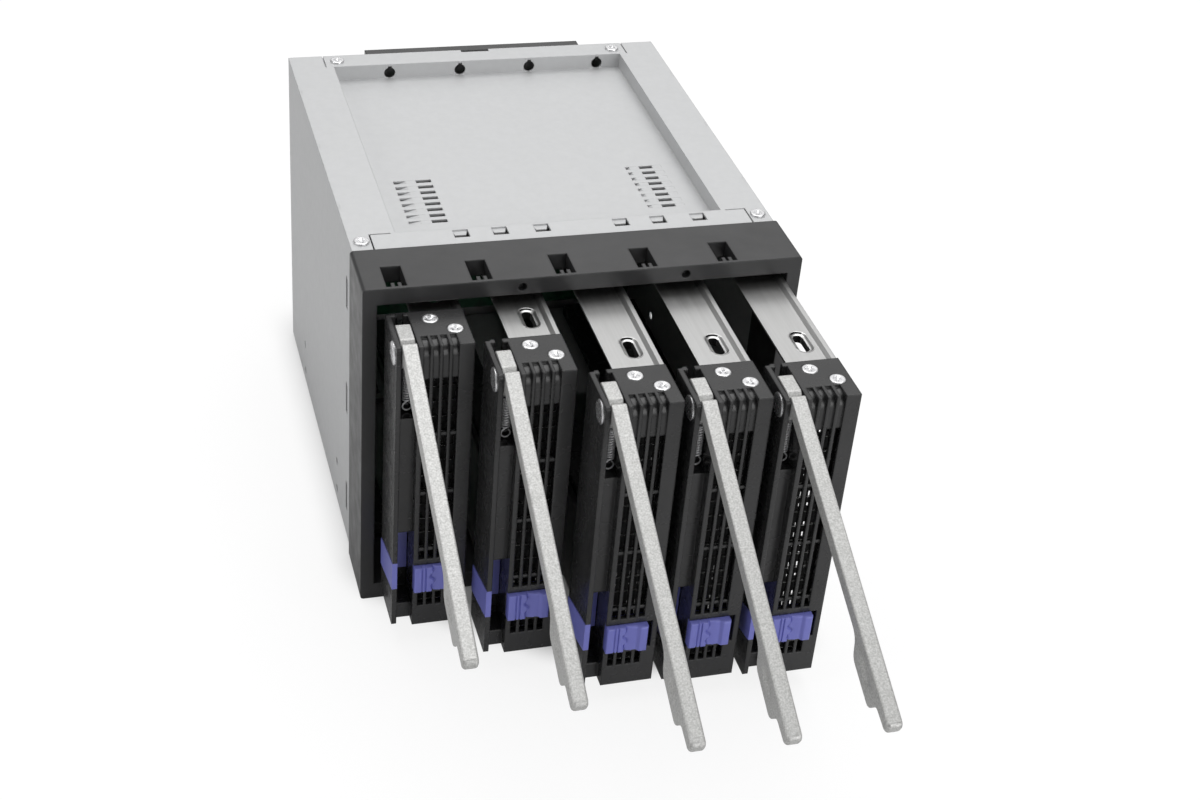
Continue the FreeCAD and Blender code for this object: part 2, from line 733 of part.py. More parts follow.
def make_pan_panel(under, label):
    """A pressed steel cover with a wide shallow recess. The upper one has louvres and keyholes."""
    body = new_body(label)
    plate_low = flip(housing_top, under) if under else strip_under
    plate = top_sketch(body, plate_low)
    rectangle(plate, -side_outer, bezel_depth, side_outer, housing_rear)
    pad(body, plate, sheet_wall)
    recess_front = bezel_depth + flap_length
    recess_rear = housing_rear - rear_rim_length
    block_low = flip(strip_under, under) if under else pan_under
    block = top_sketch(body, block_low)
    wall = pan_half_width + sheet_wall
    rectangle(block, -wall, recess_front - sheet_wall, wall, recess_rear + sheet_wall)
    pad(body, block, strip_under - pan_under)
    recess = top_sketch(body, flip(housing_top, under))
    rectangle(recess, -pan_half_width, recess_front, pan_half_width, recess_rear)
    pocket(body, recess, pan_drop, under)
    notches = top_sketch(body, flip(housing_top, under))
    for k in range(1, TRAY_COUNT):
        notch_places = [tray_x[k] + keyhole_offset]
        if k in (1, 3):
            notch_places.append(tray_x[k] + marker_offset)
        for x in notch_places:
            half = flap_notch_width / 2
            rectangle(notches, x - half, recess_front - flap_notch_depth, x + half, recess_front - flap_rim)
    for side in (-1, 1):
        inner = pan_half_width + sheet_wall * 2
        slit = [(inner, recess_front - relief_gap), (flap_half_width, recess_front - relief_gap)]
        slit += [(flap_half_width, bezel_depth), (flap_half_width + relief_gap, bezel_depth)]
        slit += [(flap_half_width + relief_gap, recess_front), (inner, recess_front)]
        outline(notches, [(u * side, v) for u, v in slit])
        left = rear_rim_half_width * side
        rectangle(notches, left - relief_gap / 2, recess_rear, left + relief_gap / 2, housing_rear)
        for step in range(3):
            middle = tick_first + tick_pitch * step
            near, far = sorted((side_inner * side, side_outer * side), key=number)
            rectangle(notches, near, middle - tick_length / 2, far, middle + tick_length / 2)
        ring(notches, corner_screw_x * side, corner_screw_y, screw_shank_radius, SHANK_SIDES)
        ring(notches, rim_screw_x * side, rim_screw_y, screw_shank_radius, SHANK_SIDES)
    half = rim_notch_half_width
    rectangle(notches, -half, housing_rear - rim_notch_depth, half, housing_rear)
    pocket(body, notches, sheet_wall, under)
    if not under:
        louvres = top_sketch(body, pan_top)
        for row in range(8):
            front = louvre_first + louvre_pitch * row
            far = louvre_inner + louvre_length
            rectangle(louvres, louvre_inner, front, far, front + louvre_width)
            rectangle(louvres, -far, front, -louvre_inner, front + louvre_width)
        pocket(body, louvres, sheet_wall)
        keyholes = front_sketch(body, recess_rear)
        necks = front_sketch(body, recess_rear)
        for k in range(1, TRAY_COUNT):
            x = tray_x[k] + keyhole_offset
            level = housing_top - keyhole_drop
            ring(keyholes, x, level, keyhole_radius, HEAD_SIDES)
            rectangle(necks, x - keyhole_neck / 2, level, x + keyhole_neck / 2, strip_under)
        pocket(body, keyholes, sheet_wall)
        pocket(body, necks, sheet_wall)
    keep(body, label)


def make_rear_panel():
    """The steel back, with windows for the sockets and a round fan opening."""
    body = new_body("rear_panel")
    wall = front_sketch(body, rear_inner)
    low = housing_bottom + sheet_wall
    rectangle(wall, -side_inner, low, side_inner, strip_under)
    circle(wall, 0.0, fan_level, fan_bore_radius)
    half = data_port_width / 2 + port_window_gap
    reach = data_port_pitch * 2 + data_port_height / 2 + port_window_gap
    rectangle(wall, -port_x - half, middle_z - reach, half - port_x, middle_z + reach)
    half = power_port_width / 2 + port_window_gap
    reach = power_port_pitch + power_port_height / 2 + port_window_gap
    rectangle(wall, port_x - half, middle_z - reach, port_x + half, middle_z + reach)
    pad(body, wall, sheet_wall, True)
    for under in (False, True):
        level = flip(strip_under, under) if under else strip_under - sheet_wall
        flange = top_sketch(body, level)
        front = rear_inner - rear_flange_length
        rectangle(flange, -flap_half_width, front, flap_half_width, rear_inner)
        for side in (-1, 1):
            ring(flange, rim_screw_x * side, rim_screw_y, screw_shank_radius, SHANK_SIDES)
        pad(body, flange, sheet_wall)
    keep(body, "rear_panel")


def make_guides(under, label):
    """Plastic strips between the rails, which keep the trays apart and on line."""
    pieces = []
    low = flip(pan_under, under) if under else drive_face + snap_clearance
    high = flip(drive_face + snap_clearance, under) if under else pan_under
    edges = [-side_inner]
    for x in tray_x:
        edges += [x + rail_left - guide_gap, x + rail_right + guide_gap]
    edges.append(side_inner)
    for i in range(0, len(edges), 2):
        name = "%s_strip_%d" % (label, i // 2 + 1)
        pieces.append(box(name, (edges[i], guide_front, low), (edges[i + 1], guide_rear, high)))
    keep(group(label, pieces), label)


def make_tray_front():
    """The moulded front: a grille block, a side ear and the lever channel between them."""
    body = new_body("tray_front")
    block = top_sketch(body, front_low)
    rectangle(block, block_left, 0.0, tray_right, front_depth)
    pad(body, block, front_high - front_low)
    channel = side_sketch(body, ear_right)
    channel_points = [
        (pad_front, front_low + foot_gap),
        (front_depth, front_low + foot_gap),
        (front_depth, channel_top),
        (front_depth - channel_back, channel_top),
        (front_depth - channel_back, pad_high),
        (pad_front, pad_high),
        (pad_front, pad_low),
        (belly_well_back, pad_low),
        (belly_well_back, foot_top),
        (pad_front, foot_top),
    ]
    outline(channel, channel_points)
    pad(body, channel, channel_width)
    ear = side_sketch(body, tray_left)
    clipped(ear, 0.0, front_low + foot_gap, front_depth, front_high, ear_clip)
    pad(body, ear, ear_wall)
    cavity = front_sketch(body, front_depth)
    rail_bottom = flip(rail_top, True)
    rectangle(cavity, block_left + side_wall, rail_bottom, tray_right - side_wall, rail_top)
    pocket(body, cavity, front_depth - front_wall, True)
    slots = front_sketch(body, 0.0)
    wraps = top_sketch(body, front_high)
    for i in range(4):
        left = slot_left + slot_pitch * i
        right = left + slot_width
        rectangle(slots, left, latch_high + slot_over_latch, right, front_high)
        rectangle(slots, left, slot_low, right, latch_low - slot_under_latch)
        rectangle(wraps, left, 0.0, right, slot_wrap)
    pocket(body, slots, front_wall)
    pocket(body, wraps, front_high - rail_top)
    bars = front_sketch(body, front_wall / 2)
    for i in range(3):
        low = cross_bar_low + cross_bar_pitch * i
        rectangle(bars, slot_left, low, slots_right, low + cross_bar)
    pad(body, bars, front_wall / 2, True)
    fill = side_sketch(body, slot_left)
    fill_top = front_high - front_wall / 2
    fill_rear = slot_wrap + fill_overlap
    fill_points = [
        (front_wall / 2, fill_low),
        (plate_front - latch_play, fill_low),
        (plate_front - latch_play, rail_top),
        (fill_rear, rail_top),
        (fill_rear, fill_top),
        (front_wall / 2, fill_top, fill_round),
    ]
    outline(fill, fill_points)
    pad(body, fill, slots_right - slot_left)
    lugs = front_sketch(body, front_depth - channel_back)
    rectangle(lugs, ear_right, channel_top, ear_right + lug_width, front_high)
    rectangle(lugs, block_left - lug_width, channel_top, block_left, front_high)
    pad(body, lugs, channel_back, True)
    window = front_sketch(body, 0.0)
    latch_right = block_left + latch_gap + latch_length + latch_travel
    rectangle(window, block_left, latch_low - latch_gap, latch_right, latch_high + latch_gap)
    pocket(body, window, front_wall)
    strip = side_sketch(body, ear_right)
    outline(strip, strip_outline())
    pocket(body, strip, ear_wall)
    pin_hole = side_sketch(body, tray_left)
    ring(pin_hole, pivot_y, pivot_z, pin_radius, HEAD_SIDES)
    pocket(body, pin_hole, ear_wall + channel_width + side_wall, True)
    post = side_sketch(body, ear_right)
    ring(post, spring_y, spring_low - spring_foot - post_radius, post_radius, SHANK_SIDES)
    pad(body, post, channel_width)
    for under in (False, True):
        sinks = top_sketch(body, flip_front(front_high, under))
        holes = top_sketch(body, flip_front(front_high, under))
        for x, y in ((front_screw_x, front_screw_y), (side_screw_x, side_screw_y)):
            ring(sinks, x, y, screw_head_radius, HEAD_SIDES)
            ring(holes, x, y, screw_shank_radius, SHANK_SIDES)
        pocket(body, sinks, screw_sink, under)
        pocket(body, holes, front_high - rail_top, under)
    return body


def flip_front(z, low):
    return front_low + front_high - z if low else as_size(z)


def strip_outline():
    """The slanting strip on the ear, front edge to rear edge."""
    return [
        (0.0, strip_front_low),
        (front_depth, strip_rear_low),
        (front_depth, strip_rear_low + strip_height),
        (0.0, strip_front_low + strip_height),
    ]


def make_carrier():
    """Upper and lower rails bent from one sheet with the perforated front plate."""
    body = new_body("carrier")
    plate = front_sketch(body, plate_front)
    rail_bottom = flip(rail_top, True)
    rectangle(plate, rail_left, rail_bottom, plate_right, rail_top)
    first = middle_z - hole_pitch * ((HOLE_ROWS - 1) / 2)
    for row in range(HOLE_ROWS):
        low = first + hole_pitch * row - hole_height / 2
        rectangle(plate, slot_left, low, slots_right, low + hole_height)
    pad(body, plate, carrier_wall, True)
    tongues = front_sketch(body, plate_front)
    for under in (False, True):
        low, high = sorted((flip(rail_under, under), flip(rail_top, under)), key=number)
        rectangle(tongues, rail_left, low, plate_right, high)
    pad(body, tongues, front_depth - plate_front, True)
    rails = front_sketch(body, front_depth)
    foot = rail_right - rail_lip_width - rail_lip_slope
    for under in (False, True):
        section = [
            (rail_left, rail_under),
            (foot + rail_lip_shift, rail_under),
            (rail_right - rail_lip_width + rail_lip_shift, rail_under + rail_lip),
            (rail_right, rail_under + rail_lip),
            (rail_right, rail_top + rail_lip),
            (rail_right - rail_lip_width, rail_top + rail_lip),
            (foot, rail_top),
            (rail_left, rail_top),
        ]
        outline(rails, [(u, flip(v, under)) for u, v in section])
    pad(body, rails, rail_rear - front_depth, True)
    for under in (False, True):
        low, high = sorted((flip(drive_face, under), flip(rail_under, under)), key=number)
        bosses = top_sketch(body, low)
        sinks = top_sketch(body, flip(rail_top, under))
        holes = top_sketch(body, flip(rail_top, under))
        for step in range(2):
            y = drive_slot_y + drive_slot_spacing * step
            left = drive_slot_x - boss_width / 2
            front = y - boss_length / 2
            rectangle(bosses, left, front, left + boss_width, front + boss_length)
            left = drive_slot_x - sink_width / 2
            front = y - sink_length / 2
            clipped(sinks, left, front, left + sink_width, front + sink_length, sink_clip)
            long_hole(holes, drive_slot_x, y, drive_slot_width, drive_slot_length)
        pad(body, bosses, high - low)
        pocket(body, sinks, sink_depth, under)
        for x, y in ((front_screw_x, front_screw_y), (side_screw_x, side_screw_y)):
            ring(holes, x, y, screw_shank_radius, SHANK_SIDES)
        pocket(body, holes, rail_top - drive_face, under)
    return body


def make_lever():
    """The cast lever, drawn shut: it hangs from its pivot, which is the body's own origin."""
    body = new_body("lever")
    face = -lever_face
    back = lever_thickness - lever_face
    arm = side_sketch(body, 0.0)
    arm_points = [
        (face, -shoulder_drop, lever_round),
        (face, -lever_length, lever_round),
        (back, -lever_length, lever_round),
        (back, -belly_end - belly_slope),
        (lever_belly, -belly_end, belly_round),
        (lever_belly, -belly_start, belly_round),
        (back, -belly_start + lever_round),
        (back, 0.0),
        (-hub_radius, 0.0),
    ]
    outline(arm, arm_points)
    pad(body, arm, lever_width)
    hub = side_sketch(body, 0.0)
    circle(hub, 0.0, 0.0, hub_radius)
    pad(body, hub, lever_width)
    hook = side_sketch(body, 0.0)
    hook_points = [
        (-hub_radius, 0.0),
        (-hook_tip_front, hook_reach, hook_round),
        (hook_heel_rear, hook_heel_high, hook_round),
        (hub_radius, 0.0),
    ]
    outline(hook, hook_points)
    pad(body, hook, lever_width)
    bore = side_sketch(body, lever_width)
    circle(bore, 0.0, 0.0, pin_radius + pin_clearance)
    pocket(body, bore, lever_width)
    for x, backwards in ((as_size(0.0), True), (lever_width, False)):
        dimple = side_sketch(body, x)
        clipped(dimple, face + dimple_margin, -dimple_low, lever_belly - dimple_margin, -dimple_high, dimple_clip)
        pocket(body, dimple, dimple_depth, backwards)
    return body


def make_pin():
    """The lever's pivot pin, riveted through the ear into the block's wall."""
    reach = ear_wall + channel_width + side_wall
    head_start = (tray_left - pin_head_height, pivot_y, pivot_z)
    head = bar("pin_head", pin_head_radius, HEAD_SIDES, head_start, pin_head_height, "X")
    shank = bar("pin_shank", pin_radius, HEAD_SIDES, (tray_left, pivot_y, pivot_z), reach, "X")
    return fuse("pin", [head, shank])


def make_spring():
    """The lever's return spring as a plain sleeve with its two end hooks."""
    x = lever_left + lever_width / 2
    y = spring_y
    foot_start = (x, y, spring_low - spring_foot)
    coil = bar("spring_coil", spring_radius, HEAD_SIDES, (x, y, spring_low), spring_high - spring_low)
    foot = bar("spring_foot", spring_hook_radius, SHANK_SIDES, foot_start, spring_foot)
    eye = bar("spring_end", spring_hook_radius, SHANK_SIDES, (x, y, spring_high), spring_eye)
    return fuse("spring", [coil, foot, eye])


def make_latch():
    """The sliding thumb latch: a ribbed button, a neck through its window and a flange behind the wall."""
    body = new_body("latch")
    left = block_left + latch_gap / 2
    right = left + latch_length
    button = top_sketch(body, latch_low)
    points = [(left, front_wall), (left, -latch_proud)]
    for i in (1, 2):
        groove = left + latch_rib_pitch * i
        points.append((groove, -latch_proud))
        points.append((groove + latch_groove / 2, latch_groove - latch_proud))
        points.append((groove + latch_groove, -latch_proud))
    points.append((right - thumb_width - thumb_slope, -latch_proud))
    points.append((right - thumb_width, -thumb_proud))
    points.append((right, -thumb_proud))
    points.append((right, front_wall))
    outline(button, points)
    pad(body, button, latch_high - latch_low)
    flange_left = block_left + side_wall + latch_play
    neck = front_sketch(body, front_wall)
    rectangle(neck, flange_left, latch_low, right, latch_high)
    pad(body, neck, latch_play, True)
    flange = front_sketch(body, front_wall + latch_play)
    flange_low = latch_low - flange_reach
    flange_high = latch_high + flange_reach
    rectangle(flange, flange_left, flange_low, right, flange_high)
    pad(body, flange, flange_wall, True)
    return body


def make_latch_guide():
    """The coloured strip let into the ear, with its stop tab inside the lever channel."""
    body = new_body("latch_guide")
    strip = side_sketch(body, tray_left - strip_proud)
    outline(strip, strip_outline())
    pad(body, strip, ear_wall + strip_proud)
    tab = side_sketch(body, ear_right)
    front = belly_well_back - stop_tab_length
    rectangle(tab, front, strip_front_low, belly_well_back, pad_low - stop_tab_gap)
    pad(body, tab, channel_width - latch_play)
    return body


def make_tray_screws():
    pieces = []
    for under in (False, True):
        seat = flip_front(front_high - screw_sink, under)
        for x, y in ((front_screw_x, front_screw_y), (side_screw_x, side_screw_y)):
            pieces.append(screw("tray_screw_%d" % len(pieces), (x, y, seat), "down" if under else "up"))
    return group("tray_screws", pieces)


def make_trays():
    """Every tray piece is drawn once in the tray's own place and linked into each tray."""
    fixed = {
        "front": make_tray_front(),
        "carrier": make_carrier(),
        "pin": make_pin(),
        "spring": make_spring(),
        "latch": make_latch(),
        "latch_guide": make_latch_guide(),
        "screws": make_tray_screws(),
    }
    lever = make_lever()
    for k in range(TRAY_COUNT):
        for word, piece in fixed.items():
            label = "tray_%d_%s" % (k + 1, word)
            keep(place(link(piece, label), tray_x[k], -tray_pull[k], 0.0), label)
        label = "tray_%d_lever" % (k + 1)
        pivot = (tray_x[k] + lever_left, pivot_y - tray_pull[k], pivot_z)
        keep(place(link(lever, label), *pivot, -lever_angle[k]), label)


def link(piece, label):
    obj = doc.addObject("App::Link", label)
    obj.LinkedObject = piece
    obj.LinkTransform = False
    return obj


def make_board():
    """The backplane board on its four standoffs, with drive sockets in front and ports behind."""
    corners = []
    for side in (-1, 1):
        for level in (board_low + board_screw_edge, board_high - board_screw_edge):
            corners.append((board_screw_x * side, level))
    plate = box(
        "board_plate",
        (-board_half_width, board_front, board_low),
        (board_half_width, board_rear, board_high),
    )
    tools = []
    for i, (x, z) in enumerate(corners):
        start = (x, board_front, z)
        hole = bar("board_hole_%d" % i, screw_shank_radius, SHANK_SIDES, start, board_wall, "Y")
        tools.append(hole)
    for k in range(TRAY_COUNT - 1):
        x = (tray_x[k] + tray_x[k + 1]) / 2
        low = (x - board_slot_half, board_front, middle_z - board_slot_reach)
        high = (x + board_slot_half, board_rear, middle_z + board_slot_reach)
        tools.append(box("air_slot_%d" % k, low, high))
    keep(cut("board", plate, fuse("board_tools", tools)), "backplane_board")
    standoffs = []
    for i, (x, z) in enumerate(corners):
        spot = (x, board_rear, z)
        outer = bar("standoff_%d" % i, standoff_radius, SHANK_SIDES, spot, board_gap, "Y")
        inner = bar("standoff_bore_%d" % i, screw_shank_radius, SHANK_SIDES, spot, board_gap, "Y")
        standoffs.append(cut("standoff_cut_%d" % i, outer, inner))
    keep(group("standoffs", standoffs), "board_standoffs")
    sockets = []
    for k in range(TRAY_COUNT):
        x = tray_x[k] + socket_x
        low = (x - socket_width / 2, board_front - socket_depth, socket_z)
        high = (x + socket_width / 2, board_front, socket_z + socket_height)
        body = box("socket_%d" % k, low, high)
        blade_low = (x - socket_mouth / 2, board_front - socket_depth, socket_z + socket_wall)
        blade_high = (x + socket_mouth / 2, board_front - socket_wall, high[2] - socket_wall)
        sockets.append(cut("socket_cut_%d" % k, body, box("socket_mouth_%d" % k, blade_low, blade_high)))
    keep(group("sockets", sockets), "drive_sockets")


def make_ports(label, x, width, height, pitch, count):
    """A column of cable ports on the board's rear face, each with an open mouth."""
    pieces = []
    for i in range(count):
        level = middle_z + pitch * (i - (count - 1) / 2)
        low = (x - width / 2, board_rear, level - height / 2)
        high = (x + width / 2, board_rear + port_depth, level + height / 2)
        shell = box("%s_%d" % (label, i), low, high)
        mouth_low = (low[0] + port_wall, board_rear + socket_wall, low[2] + port_wall)
        mouth_high = (high[0] - port_wall, high[1], high[2] - port_wall)
        mouth = box("%s_mouth_%d" % (label, i), mouth_low, mouth_high)
        pieces.append(cut("%s_cut_%d" % (label, i), shell, mouth))
    keep(group(label + "_set", pieces), label)


def make_fan():
    """A square axial fan on a plastic bracket, with its rotor on a fixed shaft."""
    bracket = new_body("bracket")
    plate = front_sketch(bracket, housing_rear)
    half = bracket_half_width
    rectangle(plate, -half, bracket_low, half, bracket_high)
    circle(plate, 0.0, fan_level, fan_bore_radius)
    pad(bracket, plate, bracket_wall, True)
    keep(bracket, "fan_bracket")
    body = new_body("fan")
    front = housing_rear + bracket_wall
    rear = front + fan_depth
    half = fan_size / 2
    square = front_sketch(body, front)
    rectangle(square, -half, fan_level - half, half, fan_level + half, fan_round)
    circle(square, 0.0, fan_level, fan_bore_radius)
    spread = fan_hole_spacing / 2
    for side in (-1, 1):
        for step in (-1, 1):
            ring(square, spread * side, fan_level + spread * step, screw_shank_radius, SHANK_SIDES)
    pad(body, square, fan_depth, True)
    mount = front_sketch(body, rear - mount_wall)
    circle(mount, 0.0, fan_level, fan_hub_radius)
    pad(body, mount, mount_wall, True)
    struts = front_sketch(body, rear - mount_wall)
    for side in (-1, 1):
        ends = ((fan_hub_radius - strut_overlap) * side, (fan_bore_radius + strut_overlap) * side)
        near, far = sorted(ends, key=number)
        rectangle(struts, near, fan_level - strut_width / 2, far, fan_level + strut_width / 2)
        rectangle(struts, -strut_width / 2, fan_level + near, strut_width / 2, fan_level + far)
    pad(body, struts, mount_wall, True)
    shaft_front = rotor_front + rotor_cap * 2
    shaft = front_sketch(body, front + shaft_front)
    ring(shaft, 0.0, fan_level, fan_shaft_radius, HEAD_SIDES)
    pad(body, shaft, fan_depth - shaft_front - mount_wall, True)
    keep(body, "fan_frame")
    rotor = new_body("rotor")
    hub = front_sketch(rotor, rotor_front)
    circle(hub, 0.0, 0.0, fan_hub_radius)
    pad(rotor, hub, fan_depth - rotor_front - mount_wall - rotor_gap, True)
    bore = front_sketch(rotor, rotor_front + rotor_cap)
    circle(bore, 0.0, 0.0, fan_shaft_radius + pin_clearance)
    pocket(rotor, bore, fan_depth)
    blade = side_sketch(rotor, fan_hub_radius - strut_overlap)
    outline(blade, BLADE_SECTION)
    blade_pad = pad(rotor, blade, fan_blade_reach - fan_hub_radius + strut_overlap)
    pattern = rotor.newObject("PartDesign::PolarPattern", "blades")
    pattern.Originals = [blade_pad]
    pattern.Axis = (origin_part(rotor, "Y_Axis"), [""])
    pattern.Angle = 360.0
    pattern.Occurrences = 7
    rotor.Tip = pattern
    place(rotor, 0.0, front, fan_level)
    keep(rotor, "fan_rotor")


def make_cage_screws():
    pieces = []
    for side in (-1, 1):
        for under in (False, True):
            for x, y in ((corner_screw_x, corner_screw_y), (rim_screw_x, rim_screw_y)):
                start = (x * side, y, flip(housing_top, under))
                name = "cage_screw_%d" % len(pieces)
                pieces.append(screw(name, start, "down" if under else "up"))
        for level in (board_low + board_screw_edge, board_high - board_screw_edge):
            start = (board_screw_x * side, board_front, level)
            pieces.append(screw("board_screw_%d" % len(pieces), start, "front"))
        for step in (-1, 1):
            spread = fan_hole_spacing / 2
            rear = housing_rear + bracket_wall + fan_depth
            start = (spread * side, rear, fan_level + spread * step)
            pieces.append(screw("fan_screw_%d" % len(pieces), start, "rear"))
    keep(group("cage_screw_set", pieces), "cage_screws")


def failed(obj):
    return "Invalid" in obj.State or "Error" in obj.State


def build():
    make_bezel()
    make_side_panel(-1, "left_side_panel")
    make_side_panel(1, "right_side_panel")
    make_pan_panel(False, "top_panel")
    make_pan_panel(True, "bottom_panel")
    make_rear_panel()
    make_guides(False, "upper_guides")
    make_guides(True, "lower_guides")
    make_board()
    make_ports("data_ports", -port_x, data_port_width, data_port_height, data_port_pitch, 5)
    make_ports("power_ports", port_x, power_port_width, power_port_height, power_port_pitch, 3)
    make_fan()
    make_cage_screws()
    make_trays()
    doc.recompute()
    faults = [obj.Label for obj in doc.Objects if failed(obj)]
    for obj, before in CUTS:
        if obj.Shape.Volume >= before.Shape.Volume - 1e-6:
            faults.append(obj.Label + " removes nothing")
    shapes = {part.Label: Part.getShape(part) for part in PARTS}
    for label, shape in shapes.items():
        if shape.isNull() or not shape.isValid():
            faults.append(label + " has no valid shape")
    if faults:
        raise RuntimeError("failed: " + ", ".join(faults))
    os.makedirs("parts", exist_ok=True)
    for label, shape in shapes.items():
        shape.exportStep("parts/%s.step" % label)
        print(label, len(shape.Solids), round(shape.Volume, 1))


build()
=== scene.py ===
import json
import math

import bmesh
import bpy
from mathutils import Matrix, Vector


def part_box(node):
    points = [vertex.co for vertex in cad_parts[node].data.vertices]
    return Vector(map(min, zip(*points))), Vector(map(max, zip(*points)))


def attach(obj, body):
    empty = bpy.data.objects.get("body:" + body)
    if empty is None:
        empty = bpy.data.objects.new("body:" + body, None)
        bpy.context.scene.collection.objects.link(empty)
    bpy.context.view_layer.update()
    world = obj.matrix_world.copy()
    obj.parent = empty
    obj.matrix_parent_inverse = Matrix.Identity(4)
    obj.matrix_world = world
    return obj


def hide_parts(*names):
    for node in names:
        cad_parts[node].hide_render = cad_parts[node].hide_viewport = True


# Looks of the hot swap drive cage. Scene units are metres: +X right, +Y to the rear, +Z up.
# Shape constants named here are in mm, unless they are said to be in metres.

MM = 0.001
TRAYS = range(1, 6)

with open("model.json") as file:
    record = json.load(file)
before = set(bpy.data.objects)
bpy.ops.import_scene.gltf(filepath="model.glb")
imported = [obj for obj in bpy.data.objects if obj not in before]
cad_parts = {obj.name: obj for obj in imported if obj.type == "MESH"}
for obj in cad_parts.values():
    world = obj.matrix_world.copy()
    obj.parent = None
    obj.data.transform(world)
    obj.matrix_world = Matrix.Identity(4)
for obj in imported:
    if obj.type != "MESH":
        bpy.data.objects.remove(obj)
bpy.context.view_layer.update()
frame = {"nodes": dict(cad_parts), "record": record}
nodes = frame["nodes"]


# Materials. Texture scales are per metre, bump depths and edge radii in metres.

NOISE_LOW = 0.3
NOISE_HIGH = 0.7
EDGE_SAMPLES = 4
# Near-black of the carrier's front plate and of the screens, darker than any of the black
# plastics: these parts are dark, and the colour also paints in the deep shade inside the grille.
GRILLE_BLACK_AND_SHADE = (0.006, 0.006, 0.006)
GRILLE_BLACK_SPECULAR = 0.2
GRILLE_BLACK_ROUGHNESS = 0.6
DARK_PLATE_FACING = 0.5
MOULDED_DARKER = 0.85
MOULDED_LIGHTER = 1.2
MOULDED_SMOOTHER = 0.05
MOULDED_ROUGHER = 0.06
BRUSHED_ALONG_Y = (1.0, 0.03, 1.0)


def material(name, colour, roughness, metallic=0.0):
    """A new node material with its principled shader."""
    mat = bpy.data.materials.new(name)
    mat.use_nodes = True
    shader = mat.node_tree.nodes["Principled BSDF"]
    shader.inputs["Base Color"].default_value = (*colour, 1.0)
    shader.inputs["Roughness"].default_value = roughness
    shader.inputs["Metallic"].default_value = metallic
    return mat, mat.node_tree, shader


def place_node(tree, stretch=(1.0, 1.0, 1.0)):
    """Object coordinates in metres, stretched along each axis."""
    coordinates = tree.nodes.new("ShaderNodeTexCoord")
    mapping = tree.nodes.new("ShaderNodeMapping")
    mapping.inputs["Scale"].default_value = stretch
    tree.links.new(coordinates.outputs["Object"], mapping.inputs["Vector"])
    return mapping.outputs["Vector"]


def noise(tree, vector, scale, detail=3.0):
    """A cloudy value between 0 and 1."""
    texture = tree.nodes.new("ShaderNodeTexNoise")
    texture.inputs["Scale"].default_value = scale
    texture.inputs["Detail"].default_value = detail
    tree.links.new(vector, texture.inputs["Vector"])
    return texture.outputs["Fac"]


def tint(tree, shader, factor, low, high):
    """Base colour that wanders between two colours."""
    ramp = tree.nodes.new("ShaderNodeValToRGB")
    ramp.color_ramp.elements[0].position = NOISE_LOW
    ramp.color_ramp.elements[1].position = NOISE_HIGH
    ramp.color_ramp.elements[0].color = (*low, 1.0)
    ramp.color_ramp.elements[1].color = (*high, 1.0)
    tree.links.new(factor, ramp.inputs["Fac"])
    tree.links.new(ramp.outputs["Color"], shader.inputs["Base Color"])


def wander(tree, shader, factor, low, high):
    """Roughness that wanders between two values."""
    span = tree.nodes.new("ShaderNodeMapRange")
    span.inputs["From Min"].default_value = NOISE_LOW
    span.inputs["From Max"].default_value = NOISE_HIGH
    span.inputs["To Min"].default_value = low
    span.inputs["To Max"].default_value = high
    tree.links.new(factor, span.inputs["Value"])
    tree.links.new(span.outputs["Result"], shader.inputs["Roughness"])


def surface(tree, shader, height, strength, depth, edge):
    """Bump from a height texture, over edges that look slightly rounded."""
    soft = tree.nodes.new("ShaderNodeBevel")
    soft.samples = EDGE_SAMPLES
    soft.inputs["Radius"].default_value = edge
    bump = tree.nodes.new("ShaderNodeBump")
    bump.inputs["Strength"].default_value = strength
    bump.inputs["Distance"].default_value = depth
    tree.links.new(height, bump.inputs["Height"])
    tree.links.new(soft.outputs["Normal"], bump.inputs["Normal"])
    tree.links.new(bump.outputs["Normal"], shader.inputs["Normal"])


def zinc_steel():
    """Zinc coated sheet: pale grey, almost matt, with a faint cloudy spangle."""
    mat, tree, shader = material("zinc_steel_finish", (0.6, 0.605, 0.61), 0.5, 0.4)
    vector = place_node(tree)
    cloud = noise(tree, vector, scale=320.0, detail=4.0)
    tint(tree, shader, cloud, (0.55, 0.555, 0.56), (0.57, 0.575, 0.58))
    wander(tree, shader, noise(tree, vector, scale=500.0), 0.47, 0.54)
    grain = noise(tree, vector, scale=2600.0)
    surface(tree, shader, grain, strength=0.12, depth=0.00005, edge=0.0004)
    return mat


def moulded_black(name, colour, grain_scale, roughness):
    """Black moulded plastic with a fine spark-eroded grain."""
    mat, tree, shader = material(name, colour, roughness)
    vector = place_node(tree)
    darker = tuple(c * MOULDED_DARKER for c in colour)
    lighter = tuple(c * MOULDED_LIGHTER for c in colour)
    tint(tree, shader, noise(tree, vector, scale=45.0), darker, lighter)
    smoother, rougher = roughness - MOULDED_SMOOTHER, roughness + MOULDED_ROUGHER
    wander(tree, shader, noise(tree, vector, scale=150.0), smoother, rougher)
    grain = noise(tree, vector, scale=grain_scale, detail=2.0)
    surface(tree, shader, grain, strength=0.22, depth=0.00006, edge=0.0008)
    return mat


def blue_plastic():
    """Blue violet moulded plastic of the latches and their guide strips."""
    mat, tree, shader = material("blue_plastic_finish", (0.162, 0.172, 0.52), 0.34)
    vector = place_node(tree)
    tint(tree, shader, noise(tree, vector, scale=90.0), (0.155, 0.165, 0.5), (0.17, 0.18, 0.54))
    wander(tree, shader, noise(tree, vector, scale=200.0), 0.3, 0.38)
    grain = noise(tree, vector, scale=2500.0)
    surface(tree, shader, grain, strength=0.12, depth=0.00005, edge=0.00012)
    return mat


